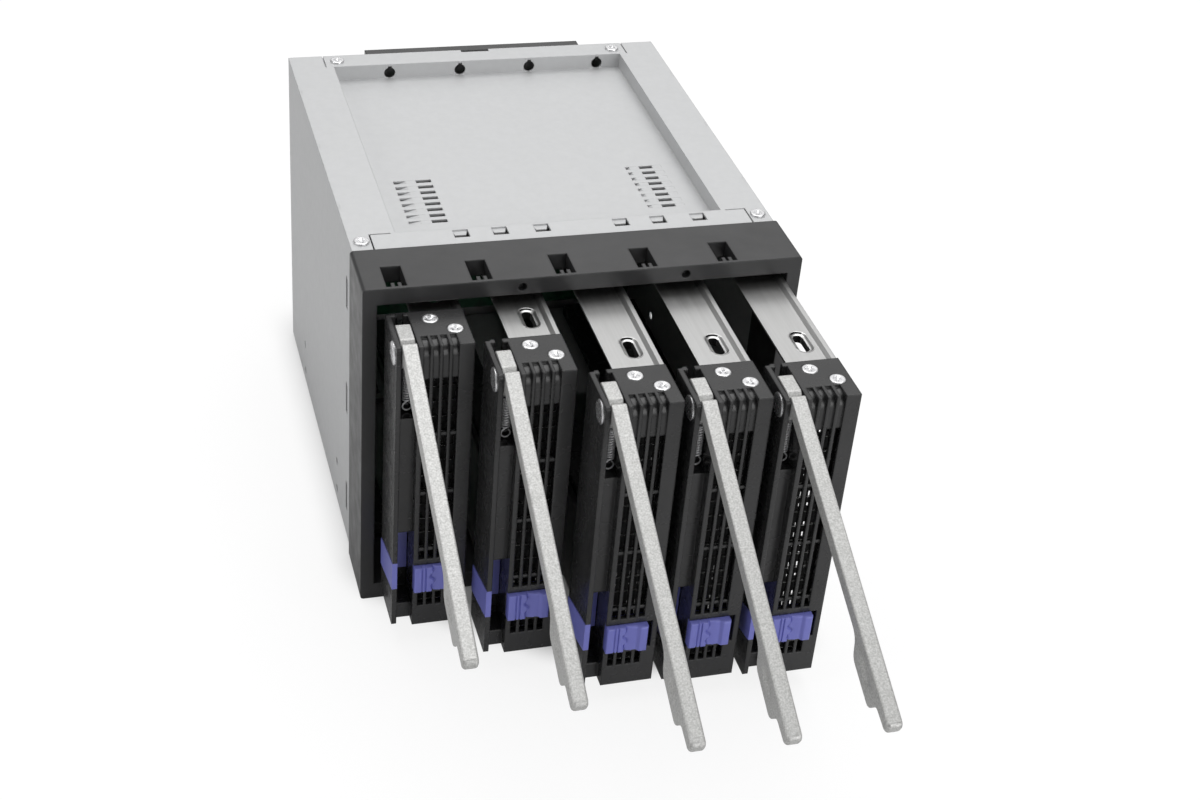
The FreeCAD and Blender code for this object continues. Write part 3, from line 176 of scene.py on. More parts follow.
def blasted_aluminium():
    """Cast aluminium, bead blasted: silvery with a fine sparkling grain."""
    mat, tree, shader = material("lever_aluminium_finish", (0.48, 0.48, 0.47), 0.46, 0.45)
    vector = place_node(tree)
    grain = noise(tree, vector, scale=1900.0, detail=2.0)
    tint(tree, shader, grain, (0.37, 0.37, 0.36), (0.58, 0.58, 0.57))
    wander(tree, shader, noise(tree, vector, scale=900.0), 0.36, 0.52)
    surface(tree, shader, grain, strength=0.45, depth=0.00008, edge=0.00025)
    return mat


def brushed_aluminium():
    """Rolled sheet with fine brushing along the rails."""
    mat, tree, shader = material("rail_aluminium_finish", (0.54, 0.54, 0.535), 0.3, 1.0)
    streaks = noise(tree, place_node(tree, BRUSHED_ALONG_Y), scale=1400.0, detail=2.0)
    tint(tree, shader, streaks, (0.52, 0.52, 0.515), (0.56, 0.56, 0.555))
    wander(tree, shader, streaks, 0.29, 0.32)
    grain = noise(tree, place_node(tree), scale=2600.0, detail=2.0)
    surface(tree, shader, grain, strength=0.02, depth=0.00002, edge=0.0003)
    # Faces that point forward or back get the near-black that also paints in the grille's shade.
    darken_front_plate(tree, shader)
    return mat


def darken_front_plate(tree, bare):
    """Faces that point forward or back, as the perforated plate does, get a near-black finish that
    also paints in the deep shade inside the grille. The rails stay bare.
    """
    dark_plate = tree.nodes.new("ShaderNodeBsdfPrincipled")
    dark_plate.inputs["Base Color"].default_value = (*GRILLE_BLACK_AND_SHADE, 1.0)
    dark_plate.inputs["Roughness"].default_value = GRILLE_BLACK_ROUGHNESS
    dark_plate.inputs["Specular IOR Level"].default_value = GRILLE_BLACK_SPECULAR
    geometry = tree.nodes.new("ShaderNodeNewGeometry")
    split = tree.nodes.new("ShaderNodeSeparateXYZ")
    size = tree.nodes.new("ShaderNodeMath")
    size.operation = "ABSOLUTE"
    facing = tree.nodes.new("ShaderNodeMath")
    facing.operation = "GREATER_THAN"
    facing.inputs[1].default_value = DARK_PLATE_FACING
    mix = tree.nodes.new("ShaderNodeMixShader")
    tree.links.new(geometry.outputs["True Normal"], split.inputs["Vector"])
    tree.links.new(split.outputs["Y"], size.inputs[0])
    tree.links.new(size.outputs["Value"], facing.inputs[0])
    tree.links.new(facing.outputs["Value"], mix.inputs["Fac"])
    tree.links.new(bare.outputs["BSDF"], mix.inputs[1])
    tree.links.new(dark_plate.outputs["BSDF"], mix.inputs[2])
    tree.links.new(mix.outputs["Shader"], tree.nodes["Material Output"].inputs["Surface"])


def bright_steel():
    """Plated steel of the screws and pins."""
    mat, tree, shader = material("bright_steel_finish", (0.75, 0.75, 0.76), 0.25, 0.9)
    vector = place_node(tree)
    tint(tree, shader, noise(tree, vector, scale=400.0), (0.68, 0.68, 0.69), (0.8, 0.8, 0.81))
    wander(tree, shader, noise(tree, vector, scale=700.0), 0.2, 0.34)
    grain = noise(tree, vector, scale=3000.0)
    surface(tree, shader, grain, strength=0.06, depth=0.00003, edge=0.0002)
    return mat


def spring_steel():
    """Drawn wire, duller than the screws."""
    mat, tree, shader = material("spring_finish", (0.72, 0.72, 0.73), 0.34, 0.4)
    vector = place_node(tree)
    tint(tree, shader, noise(tree, vector, scale=500.0), (0.66, 0.66, 0.67), (0.78, 0.78, 0.79))
    wander(tree, shader, noise(tree, vector, scale=900.0), 0.28, 0.42)
    grain = noise(tree, vector, scale=3000.0)
    surface(tree, shader, grain, strength=0.05, depth=0.00002, edge=0.0001)
    return mat


def circuit_board():
    """Dark green solder mask with slightly lighter copper tracks under it, darker than its own
    green as painted shade for the depth at which the board sits.
    """
    mat, tree, shader = material("board_finish", (0.01, 0.09, 0.04), 0.32)
    vector = place_node(tree)
    tracks = tree.nodes.new("ShaderNodeTexVoronoi")
    tracks.distance = "MANHATTAN"
    tracks.feature = "F1"
    tracks.inputs["Scale"].default_value = 160.0
    tree.links.new(vector, tracks.inputs["Vector"])
    distance = tracks.outputs["Distance"]
    # These greens are darker than the board's own: painted shade for the board deep in the cage.
    tint(tree, shader, distance, (0.005, 0.035, 0.016), (0.012, 0.07, 0.032))
    surface(tree, shader, distance, strength=0.2, depth=0.00005, edge=0.0002)
    return mat


def white_plastic():
    """Off-white nylon of the power ports."""
    mat, tree, shader = material("white_plastic_finish", (0.74, 0.73, 0.68), 0.45)
    vector = place_node(tree)
    tint(tree, shader, noise(tree, vector, scale=120.0), (0.7, 0.69, 0.64), (0.77, 0.76, 0.71))
    grain = noise(tree, vector, scale=1800.0)
    surface(tree, shader, grain, strength=0.12, depth=0.00005, edge=0.0003)
    return mat


def dark_screen():
    """Near-black matt fine screens: dark themselves, and their colour also paints in the deep
    shade inside the grille, where they look nearly pure black.
    """
    mat, tree, shader = material("screen_finish", GRILLE_BLACK_AND_SHADE, GRILLE_BLACK_ROUGHNESS)
    shader.inputs["Specular IOR Level"].default_value = GRILLE_BLACK_SPECULAR
    vector = place_node(tree)
    cloud = noise(tree, vector, scale=300.0)
    tint(tree, shader, cloud, (0.004, 0.004, 0.004), (0.009, 0.009, 0.009))
    wander(tree, shader, noise(tree, vector, scale=600.0), 0.5, 0.7)
    grain = noise(tree, vector, scale=2500.0)
    surface(tree, shader, grain, strength=0.1, depth=0.00003, edge=0.0001)
    return mat


STEEL = zinc_steel()
BEZEL = moulded_black("bezel_plastic_finish", (0.03, 0.03, 0.031), 2200.0, 0.36)
BLACK = moulded_black("black_plastic_finish", (0.023, 0.023, 0.0235), 1800.0, 0.25)
BLUE = blue_plastic()
LEVER = blasted_aluminium()
RAIL = brushed_aluminium()
SCREW = bright_steel()
BOARD = circuit_board()
WHITE = white_plastic()
SPRING = spring_steel()
SCREEN = dark_screen()

SLOT_FINISH = {
    "zinc_steel": STEEL,
    "bezel_plastic": BEZEL,
    "black_plastic": BLACK,
    "blue_plastic": BLUE,
    "lever_aluminium": LEVER,
    "rail_aluminium": RAIL,
    "bright_steel": SCREW,
    "board_green": BOARD,
    "white_plastic": WHITE,
}


def dress_nodes():
    """Every carried-over node gets the finish of its own material slot."""
    for row in frame["record"]["subparts"]:
        node = nodes[row["node"]]
        node.data.materials.clear()
        node.data.materials.append(SLOT_FINISH[row["material_slot"]])


# Small modelled pieces

def new_object(name, mesh, finish, body):
    """A visible piece that rides with a body."""
    obj = bpy.data.objects.new(name, mesh)
    bpy.context.scene.collection.objects.link(obj)
    mesh.materials.append(finish)
    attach(obj, body)
    return obj


def finish_mesh(bm, name, smooth_angle=40.0):
    """The built mesh, smooth except at edges sharper than the angle in degrees."""
    bmesh.ops.recalc_face_normals(bm, faces=bm.faces)
    mesh = bpy.data.meshes.new(name)
    bm.to_mesh(mesh)
    bm.free()
    mesh.polygons.foreach_set("use_smooth", [True] * len(mesh.polygons))
    mesh.set_sharp_from_angle(angle=math.radians(smooth_angle))
    return mesh


def circle(count):
    """Evenly spread angles of one full turn."""
    return [2 * math.pi * i / count for i in range(count)]


def bridge(bm, first, second):
    """A closed strip of faces between two rings with as many vertices."""
    count = len(first)
    for i in range(count):
        j = (i + 1) % count
        bm.faces.new((first[i], first[j], second[j], second[i]))


def ring_edges(bm, ring):
    """The closed loop of edges round a ring, made where there are none yet."""
    edges = []
    for i in range(len(ring)):
        pair = (ring[i - 1], ring[i])
        edges.append(bm.edges.get(pair) or bm.edges.new(pair))
    return edges


def smooth(value, start, end):
    """A soft step from 0 at the start to 1 at the end."""
    share = min(max((value - start) / (end - start), 0.0), 1.0)
    return share * share * (3.0 - 2.0 * share)


# Screws: pan heads with a cross recess. Lengths in metres. The spins, in radians, give each
# cross its own turn.

HEAD_RADIUS = 0.0027
HEAD_HEIGHT = 0.0008
HEAD_SEGMENTS = 32
RIM_STEPS = 5
RIM_SHARE = 0.6
CROSS_LONG_SHARE = 0.62
CROSS_WIDE_SHARE = 0.17
CROSS_DEPTH_SHARE = 0.75
CROSS_TAPER = 0.55
CAGE_SPIN = 0.7
TOP_SPINS = (0.9, 1.3)
BOTTOM_SPINS = (0.5, 1.0)
CAGE_MIDDLE_Z = 0.06
UPWARD = (0, 0, 1)
DOWNWARD = (0, 0, -1)
FORWARD = (0, -1, 0)
REARWARD = (0, 1, 0)
SIDES = (-1, 1)
CAGE_SCREWS = [
    ((side * x, y, z), UPWARD if z > CAGE_MIDDLE_Z else DOWNWARD)
    for side in SIDES
    for x, y in ((0.069, 0.0312), (0.055, 0.168))
    for z in (0.1261, 0.0009)
]
CAGE_SCREWS += [
    ((side * 0.066, 0.1666, z), FORWARD)
    for side in SIDES
    for z in (0.0152, 0.1118)
]
CAGE_SCREWS += [
    ((side * 0.03575, 0.203, 0.068 + up * 0.03575), REARWARD)
    for side in SIDES
    for up in SIDES
]


def screw_profile():
    """Half outline of a low pan head, from the rim's foot to the start of the cross."""
    rim = HEAD_HEIGHT * RIM_SHARE
    points = [(HEAD_RADIUS, 0.0), (HEAD_RADIUS, HEAD_HEIGHT - rim)]
    for i in range(1, RIM_STEPS + 1):
        turn = math.pi / 2 * i / RIM_STEPS
        points.append((
            HEAD_RADIUS - rim * (1 - math.cos(turn)),
            HEAD_HEIGHT - rim + rim * math.sin(turn),
        ))
    return points


def cross_corners():
    """The twelve corners of the cross recess, seen from above."""
    long = HEAD_RADIUS * CROSS_LONG_SHARE
    wide = HEAD_RADIUS * CROSS_WIDE_SHARE
    corners = []
    for quarter in range(4):
        rotate = Matrix.Rotation(math.pi / 2 * quarter, 3, "Z")
        for x, y in ((long, -wide), (long, wide), (wide, wide)):
            corners.append(rotate @ Vector((x, y, 0.0)))
    return corners


def add_screw(bm, seat, outward, spin):
    """A pan head with its cross recess, facing outward from its seat."""
    turn = Vector(UPWARD).rotation_difference(Vector(outward)).to_matrix().to_4x4()
    matrix = Matrix.Translation(seat) @ turn @ Matrix.Rotation(spin, 4, "Z")
    rings = []
    for radius, height in screw_profile():
        ring = []
        for angle in circle(HEAD_SEGMENTS):
            point = Vector((radius * math.cos(angle), radius * math.sin(angle), height))
            ring.append(bm.verts.new(matrix @ point))
        rings.append(ring)
    for lower, upper in zip(rings, rings[1:]):
        bridge(bm, lower, upper)
    cross = cross_corners()
    high = Vector((0, 0, HEAD_HEIGHT))
    deep = Vector((0, 0, HEAD_HEIGHT - HEAD_HEIGHT * CROSS_DEPTH_SHARE))
    top = [bm.verts.new(matrix @ (point + high)) for point in cross]
    floor = [bm.verts.new(matrix @ (point * CROSS_TAPER + deep)) for point in cross]
    bridge(bm, floor, top)
    bm.faces.new(floor)
    edges = ring_edges(bm, rings[-1]) + ring_edges(bm, top)
    bmesh.ops.triangle_fill(bm, use_beauty=True, edges=edges)


def make_screws():
    """Pan head screws with cross recesses in place of the plain ones."""
    bm = bmesh.new()
    for i, (seat, outward) in enumerate(CAGE_SCREWS):
        add_screw(bm, Vector(seat), outward, CAGE_SPIN * i)
    name = "cage_screw_heads"
    cage = new_object(name, finish_mesh(bm, name), SCREW, "cage")
    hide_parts("cage_screws")
    for k in TRAYS:
        low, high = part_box("tray_%d_screws" % k)
        left, right = low.x + HEAD_RADIUS, high.x - HEAD_RADIUS
        front, rear = low.y + HEAD_RADIUS, high.y - HEAD_RADIUS
        bm = bmesh.new()
        for i, (x, y) in enumerate(((left, rear), (right, front))):
            top = Vector((x, y, high.z - HEAD_HEIGHT))
            bottom = Vector((x, y, low.z + HEAD_HEIGHT))
            add_screw(bm, top, UPWARD, TOP_SPINS[0] * k + TOP_SPINS[1] * i)
            add_screw(bm, bottom, DOWNWARD, BOTTOM_SPINS[0] * k + BOTTOM_SPINS[1] * i)
        name = "tray_%d_screw_heads" % k
        heads = new_object(name, finish_mesh(bm, name), SCREW, "tray_%d" % k)
        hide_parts("tray_%d_screws" % k)


# Springs: close wound coils on the tray. Lengths in metres.

WIRE_RADIUS = 0.00028
WIRE_SIDES = 8
WIRE_SIDE_HINT = (0.3, 1.0, 0.2)
COIL_RADIUS = 0.0017
COIL_RIGHT = 0.0009
COIL_FORWARD = 0.0012
COIL_FOOT = 0.0012
COIL_TOP = 0.0128
COIL_TURNS = 12
COIL_STEPS = 14
LOOP_RADIUS = 0.0015
LOOP_FORWARD = 0.0004
LOOP_STEPS = 13
LOOP_START_ANGLE = -60.0
LOOP_STEP_ANGLE = 25.0
END_GAP = 0.0008
EYE_RISE = 0.0005


def add_tube(bm, path, radius):
    """A round wire along a path of points."""
    rings = []
    for i, point in enumerate(path):
        ahead = path[min(i + 1, len(path) - 1)] - path[max(i - 1, 0)]
        side = ahead.cross(Vector(WIRE_SIDE_HINT)).normalized()
        above = side.cross(ahead).normalized()
        rings.append([
            bm.verts.new(point + (side * math.cos(turn) + above * math.sin(turn)) * radius)
            for turn in circle(WIRE_SIDES)
        ])
    for first, second in zip(rings, rings[1:]):
        bridge(bm, first, second)
    bm.faces.new(rings[0])
    bm.faces.new(rings[-1])


def spring_path(low, high):
    """From the hooked loop at the foot, up the coils, to the eye under the lever."""
    middle = (low + high) / 2
    across, along = middle.x + COIL_RIGHT, middle.y - COIL_FORWARD
    path = []
    for i in range(LOOP_STEPS):
        turn = math.radians(LOOP_START_ANGLE + LOOP_STEP_ANGLE * i)
        path.append(Vector((
            across + LOOP_RADIUS * math.cos(turn),
            along - LOOP_FORWARD,
            low.z - END_GAP - LOOP_RADIUS * math.sin(turn),
        )))
    path.append(Vector((across, along, low.z + END_GAP)))
    reach = COIL_RADIUS - WIRE_RADIUS
    coil_low, coil_high = low.z + COIL_FOOT, low.z + COIL_TOP
    count = COIL_TURNS * COIL_STEPS
    for i in range(count + 1):
        turn = 2 * math.pi * i / COIL_STEPS
        path.append(Vector((
            across + reach * math.cos(turn),
            along + reach * math.sin(turn),
            coil_low + (coil_high - coil_low) * i / count,
        )))
    path.append(Vector((middle.x, middle.y, coil_high + EYE_RISE)))
    path.append(Vector((middle.x, middle.y, high.z - END_GAP)))
    return path


def make_springs():
    """Close wound extension springs with a hooked wire at each end."""
    for k in TRAYS:
        low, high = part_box("tray_%d_spring" % k)
        bm = bmesh.new()
        add_tube(bm, spring_path(low, high), WIRE_RADIUS)
        name = "tray_%d_coil" % k
        mesh = finish_mesh(bm, name, smooth_angle=60.0)
        coil = new_object(name, mesh, SPRING, "tray_%d" % k)
        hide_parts("tray_%d_spring" % k)


# Pins: distance along the pin and radius, in mm, from the domed head to the far end.

PIN_SEGMENTS = 48
PIN_PROFILE = [
    (0.4, 0.0), (0.42, 2.2), (0.48, 3.2), (0.6, 3.7), (0.78, 3.92),
    (1.0, 3.95), (1.0, 1.9), (9.2, 1.9), (9.2, 0.0),
]


def make_pins():
    """Round rivet pins with a low domed head, in place of the many-sided ones."""
    for k in TRAYS:
        low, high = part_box("tray_%d_pin" % k)
        middle = (low + high) / 2
        bm = bmesh.new()
        rings = []
        for along, radius in PIN_PROFILE:
            rings.append([
                bm.verts.new((
                    low.x + along * MM,
                    middle.y + radius * MM * math.cos(turn),
                    middle.z + radius * MM * math.sin(turn),
                ))
                for turn in (circle(PIN_SEGMENTS) if radius else (0.0,))
            ])
        for i in range(PIN_SEGMENTS):
            j = (i + 1) % PIN_SEGMENTS
            bm.faces.new((rings[0][0], rings[1][i], rings[1][j]))
            bm.faces.new((rings[-2][i], rings[-2][j], rings[-1][0]))
        for first, second in zip(rings[1:-2], rings[2:-1]):
            bridge(bm, first, second)
        name = "tray_%d_rivet" % k
        rivet = new_object(name, finish_mesh(bm, name), SCREW, "tray_%d" % k)
        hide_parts("tray_%d_pin" % k)


# Levers. The outline lies in the lever's own plane, with the pin at the origin and the arm
# pointing down, as when it is shut: (y, z, corner radius) in mm, anticlockwise.

LEVER_OPENINGS = (65.4, 62.6, 62.6, 62.2, 64.6)
LEVER_OUTLINE = [
    (-6.85, -1.2, 1.2), (-6.85, -108.6, 1.8), (-2.35, -108.6, 1.6), (-2.35, -100.3, 2.0),
    (4.0, -98.3, 2.4), (4.0, -82.6, 4.0), (-2.35, -78.4, 5.0), (-2.35, -5.4, 2.6),
    (3.0, -4.5, 2.4), (5.0, -0.5, 2.6), (2.9, 8.1, 1.2), (0.6, 9.36, 1.0),
    (-1.6, 9.3, 1.4), (-4.9, 1.4, 1.4), (-4.0, -0.6, 0.4),
]
ARC_STEP = 12.0
LEVER_WIDTH = 4.8
EDGE_TURNS = (0, 22.5, 45, 67.5, 90)
EDGE_RADIUS = 0.35
TIP_EDGE_EXTRA = 0.75
TIP_START = 104.5
TIP_END = 108.5
PIN_BORE = 1.95
BORE_SEGMENTS = 40
DIMPLE_PLACE = (-1.8, -89.2)
DIMPLE_HALF_SIZE = (2.6, 5.2)
DIMPLE_DEPTH = 0.9
DIMPLE_RINGS = (1.0, 0.85, 0.6, 0.3)


def turned(point, angle):
    """A flat point turned about the origin."""
    return Vector((
        point.x * math.cos(angle) - point.y * math.sin(angle),
        point.x * math.sin(angle) + point.y * math.cos(angle),
    ))


def rounded(corners):
    """An outline whose corners are rounded by arcs."""
    points = []
    count = len(corners)
    for i in range(count):
        here = Vector(corners[i][:2])
        before = (Vector(corners[i - 1][:2]) - here).normalized()
        after = (Vector(corners[(i + 1) % count][:2]) - here).normalized()
        half = before.angle(after) / 2
        middle = here + (before + after).normalized() * (corners[i][2] / math.sin(half))
        reach = corners[i][2] / math.tan(half)
        start = here + before * reach - middle
        swing = start.angle_signed(here + after * reach - middle)
        pieces = max(1, round(math.degrees(abs(swing)) / ARC_STEP))
        points += [middle + turned(start, -swing * j / pieces) for j in range(pieces + 1)]
    return points


def inward_normals(points):
    """Unit normals towards the inside of an outline that runs anticlockwise."""
    normals = []
    for i in range(len(points)):
        along = (points[(i + 1) % len(points)] - points[i - 1]).normalized()
        normals.append(Vector((-along.y, along.x)))
    return normals


def lever_section(outline, normals, turn):
    """The outline drawn in towards one side, for rounded edges that are roundest at the tip."""
    section = []
    for point, normal in zip(outline, normals):
        edge = EDGE_RADIUS + TIP_EDGE_EXTRA * smooth(-point.y, TIP_START, TIP_END)
        inner = point + normal * edge * (1.0 - math.sin(turn))
        section.append((edge * (1.0 - math.cos(turn)), inner.x, inner.y))
    return section


def lever_side_rings(x, inward):
    """The bore's ring and the dimple's rings on one flat side of a lever."""
    bore = [
        (x, PIN_BORE * math.cos(turn), PIN_BORE * math.sin(turn))
        for turn in circle(BORE_SEGMENTS)
    ]
    dish = [
        [
            (
                x + inward * DIMPLE_DEPTH * (1.0 - share * share),
                DIMPLE_PLACE[0] + DIMPLE_HALF_SIZE[0] * share * math.cos(turn),
                DIMPLE_PLACE[1] + DIMPLE_HALF_SIZE[1] * share * math.sin(turn),
            )
            for turn in circle(BORE_SEGMENTS)
        ]
        for share in DIMPLE_RINGS
    ]
    return bore, dish


def placed_ring(bm, place, points):
    """A ring of vertices at points given in mm, put in their place by a matrix."""
    return [bm.verts.new(place @ Vector((x * MM, y * MM, z * MM))) for x, y, z in points]


def make_levers():
    """Cast levers: a soft edged arm with its belly and dimples, a shoulder and a rounded hook."""
    outline = rounded(LEVER_OUTLINE)
    normals = inward_normals(outline)
    near = [lever_section(outline, normals, math.radians(turn)) for turn in EDGE_TURNS]
    far = [[(LEVER_WIDTH - x, y, z) for x, y, z in section] for section in reversed(near)]
    for k in TRAYS:
        low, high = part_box("tray_%d_lever" % k)
        pin_low, pin_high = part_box("tray_%d_pin" % k)
        pin = (pin_low + pin_high) / 2
        swing = math.radians(-LEVER_OPENINGS[k - 1])
        place = Matrix.Translation((low.x, pin.y, pin.z)) @ Matrix.Rotation(swing, 4, "X")
        bm = bmesh.new()
        rings = [placed_ring(bm, place, section) for section in near + far]
        for first, second in zip(rings, rings[1:]):
            bridge(bm, first, second)
        bores = []
        for x, inward, side in ((0.0, 1.0, rings[0]), (LEVER_WIDTH, -1.0, rings[-1])):
            bore_points, dish_points = lever_side_rings(x, inward)
            bore = placed_ring(bm, place, bore_points)
            dish = [placed_ring(bm, place, points) for points in dish_points]
            edges = ring_edges(bm, side) + ring_edges(bm, bore) + ring_edges(bm, dish[0])
            bmesh.ops.triangle_fill(bm, use_beauty=True, use_dissolve=False, edges=edges)
            for first, second in zip(dish, dish[1:]):
                bridge(bm, first, second)
            bm.faces.new(dish[-1])
            bores.append(bore)
        bridge(bm, *bores)
        name = "tray_%d_cast_lever" % k
        mesh = finish_mesh(bm, name, smooth_angle=30.0)
        lever = new_object(name, mesh, LEVER, "lever_%d" % k)
        shade = lever.modifiers.new("flat_faces", "WEIGHTED_NORMAL")
        shade.keep_sharp = True
        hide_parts("tray_%d_lever" % k)


# Latches. u runs to the right and v upward over the button's face.

LATCH_LENGTH = 13.8
LATCH_HEIGHT = 10.5
LATCH_COLUMNS = 64
LATCH_ROWS = 36
LATCH_FACE = 2.5
FLANGE_WALL = 1.1
FLANGE_START = 1.25
BUTTON_RISE = 1.75
GROOVE_PLACES = (2.7, 3.9)
GROOVE_DEPTH = 0.5
GROOVE_HALF_WIDTH = 0.3
WAVE_PLACE = 6.0
WAVE_SWING = 0.85
WAVE_CREST = 4.4
WAVE_RATE = 1.35
WAVE_FADE = 3.4
STEP_DEPTH = 0.7
STEP_WIDTH = 0.25
LINE_DEPTH = 0.45
LINE_HALF_WIDTH = 0.4
THUMB_RISES = ((0.45, 6.8, 9.8), (1.0, 10.0, 11.3))
SOFT_EDGE = 0.4
THUMB_SOFT_EDGE = 0.8
THUMB_EDGE_START = 9.0
CROWDING = 0.5


def latch_relief(u, v):
    """How far the latch button stands proud at a place on its face."""
    rise = BUTTON_RISE
    for groove in GROOVE_PLACES:
        rise -= GROOVE_DEPTH * max(0.0, 1.0 - ((u - groove) / GROOVE_HALF_WIDTH) ** 2)
    fade = math.exp(-((v - LATCH_HEIGHT / 2) / WAVE_FADE) ** 2)
    step = WAVE_PLACE + WAVE_SWING * math.cos((v - WAVE_CREST) * WAVE_RATE) * fade
    line = step + STEP_WIDTH
    rise -= STEP_DEPTH * smooth(u, step, line)
    rise -= LINE_DEPTH * max(0.0, 1.0 - ((u - line) / LINE_HALF_WIDTH) ** 2)
    for height, start, end in THUMB_RISES:
        rise += height * smooth(u, start, end)
    edge = min(u, v, LATCH_LENGTH - u, LATCH_HEIGHT - v)
    soft = THUMB_SOFT_EDGE if u > THUMB_EDGE_START else SOFT_EDGE
    if edge < soft:
        rise -= soft - math.sqrt(soft * soft - (soft - edge) ** 2)
    return rise


def spread(length, count):
    """Places from 0 to a length, closer together near both ends."""
    places = []
    for i in range(count + 1):
        even = length * i / count
        crowded = length * (1.0 - math.cos(math.pi * i / count)) / 2
        places.append(round(CROWDING * crowded + (1.0 - CROWDING) * even, 4))
    return places


def add_latch_button(bm, left, face, rear, foot):
    """A block whose front carries the relief, as a grid of small faces."""
    across = spread(LATCH_LENGTH, LATCH_COLUMNS)
    upward = spread(LATCH_HEIGHT, LATCH_ROWS)
    front = [
        [
            bm.verts.new((left + u * MM, face - latch_relief(u, v) * MM, foot + v * MM))
            for v in upward
        ]
        for u in across
    ]
    back = [[bm.verts.new((left + u * MM, rear, foot + v * MM)) for v in upward] for u in across]
    last, top = LATCH_COLUMNS, LATCH_ROWS
    for layer in (front, back):
        for i in range(last):
            for j in range(top):
                bm.faces.new((
                    layer[i][j], layer[i + 1][j], layer[i + 1][j + 1], layer[i][j + 1],
                ))
    loop = [(i, 0) for i in range(last)] + [(last, j) for j in range(top)]
    loop += [(i, top) for i in range(last, 0, -1)] + [(0, j) for j in range(top, 0, -1)]
    bridge(bm, [front[i][j] for i, j in loop], [back[i][j] for i, j in loop])


def add_block(bm, low, high):
    """A plain block between two corners."""
    corners = [
        bm.verts.new((x, y, z))
        for x in (low[0], high[0])
        for y in (low[1], high[1])
        for z in (low[2], high[2])
    ]
    sides = ((0, 1, 3, 2), (4, 6, 7, 5), (0, 4, 5, 1), (2, 3, 7, 6), (0, 2, 6, 4), (1, 5, 7, 3))
    for side in sides:
        bm.faces.new([corners[i] for i in side])


def make_latches():
    """The thumb latch with its two grooves, wavy step and raised thumb rest."""
    for k in TRAYS:
        low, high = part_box("tray_%d_latch" % k)
        face = low.y + LATCH_FACE * MM
        rear = high.y - FLANGE_WALL * MM
        foot = (low.z + high.z) / 2 - LATCH_HEIGHT / 2 * MM
        bm = bmesh.new()
        add_latch_button(bm, low.x, face, rear, foot)
        add_block(bm, (low.x + FLANGE_START * MM, rear, low.z), (high.x, high.y, high.z))
        name = "tray_%d_thumb_latch" % k
        mesh = finish_mesh(bm, name, smooth_angle=50.0)
        latch = new_object(name, mesh, BLUE, "latch_%d" % k)
        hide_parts("tray_%d_latch" % k)


# Drive slots of the upper rails. The rim's profile is (distance from the slot's middle line,
# level above the rail).

RAIL_TOP = 118.2
SLOT_ACROSS = 17.75
SLOT_PLACES = (34.0, 135.6)
SLOT_HALF_RUN = 3.0
SLOT_SEGMENTS = 48
RIM_PROFILE = (
    (3.3, 0.0), (3.25, 0.06), (3.05, 0.08), (2.9, 0.0),
    (2.5, -0.45), (2.2, -0.62), (1.75, -0.74), (1.72, -0.79),
)


def make_slot_rims():
    """The smooth pressed rim of each drive slot in the upper rails."""
    for k in TRAYS:
        low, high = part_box("tray_%d_front" % k)
        bm = bmesh.new()
        for place in SLOT_PLACES:
            rings = []
            for half, level in RIM_PROFILE:
                ring = []
                for turn in circle(SLOT_SEGMENTS):
                    run = SLOT_HALF_RUN if math.sin(turn) > 0 else -SLOT_HALF_RUN
                    ring.append(bm.verts.new((
                        low.x + (SLOT_ACROSS + half * math.cos(turn)) * MM,
                        low.y + (place + run + half * math.sin(turn)) * MM,
                        (RAIL_TOP + level) * MM,
                    )))
                rings.append(ring)
            for first, second in zip(rings, rings[1:]):
                bridge(bm, first, second)
        name = "tray_%d_slot_rims" % k
        new_object(name, finish_mesh(bm, name), RAIL, "tray_%d" % k)


# Top cover: louvres in its recessed pan, and notches in its front flap.

COVER_TOP = 126.1
PAN_TOP = 120.3
PAN_WALL = 0.8
SKIN = 0.02
LOUVRE_ROWS = 8
LOUVRE_FIRST = 50.5
LOUVRE_PITCH = 4.07
LOUVRE_WIDTH = 2.0
LOUVRE_LAP = 0.1
TONGUE_GAP = 0.15
TONGUE_WALL = 0.5
TONGUE_DIP = 0.7
TONGUE_DIP_STEP = 0.13
TONGUES = ((-49.3, -44.9, -41.3), (35.9, 37.5, 41.0))
CLOSED_END = (45.95, 49.4)
CLIP_PLACES = (-35.4, -22.1, -7.7, 20.0, 33.3, 47.7)
CLIP_OUTLINE = ((-2.65, 35.1), (2.55, 35.1), (1.7, 32.3), (-2.1, 32.3))
CLIP_TOP_DROP = 0.55
CLIP_FOOT_DROP = 1.3


def upright(x, z, level):
    """A place in an outline that stands in the XZ plane, at a level along y."""
    return (x, level, z)


def lying(x, y, level):
    """A place in an outline that lies flat, at a level along z."""
    return (x, y, level)


def add_prism(bm, outline, low, high, place):
    """A plate with a flat outline, upright or lying, between two levels."""
    layers = []
    for level in (low, high):
        points = [place(a, b, level) for a, b in outline]
        layers.append([bm.verts.new([value * MM for value in point]) for point in points])
        bm.faces.new(layers[-1])
    bridge(bm, *layers)


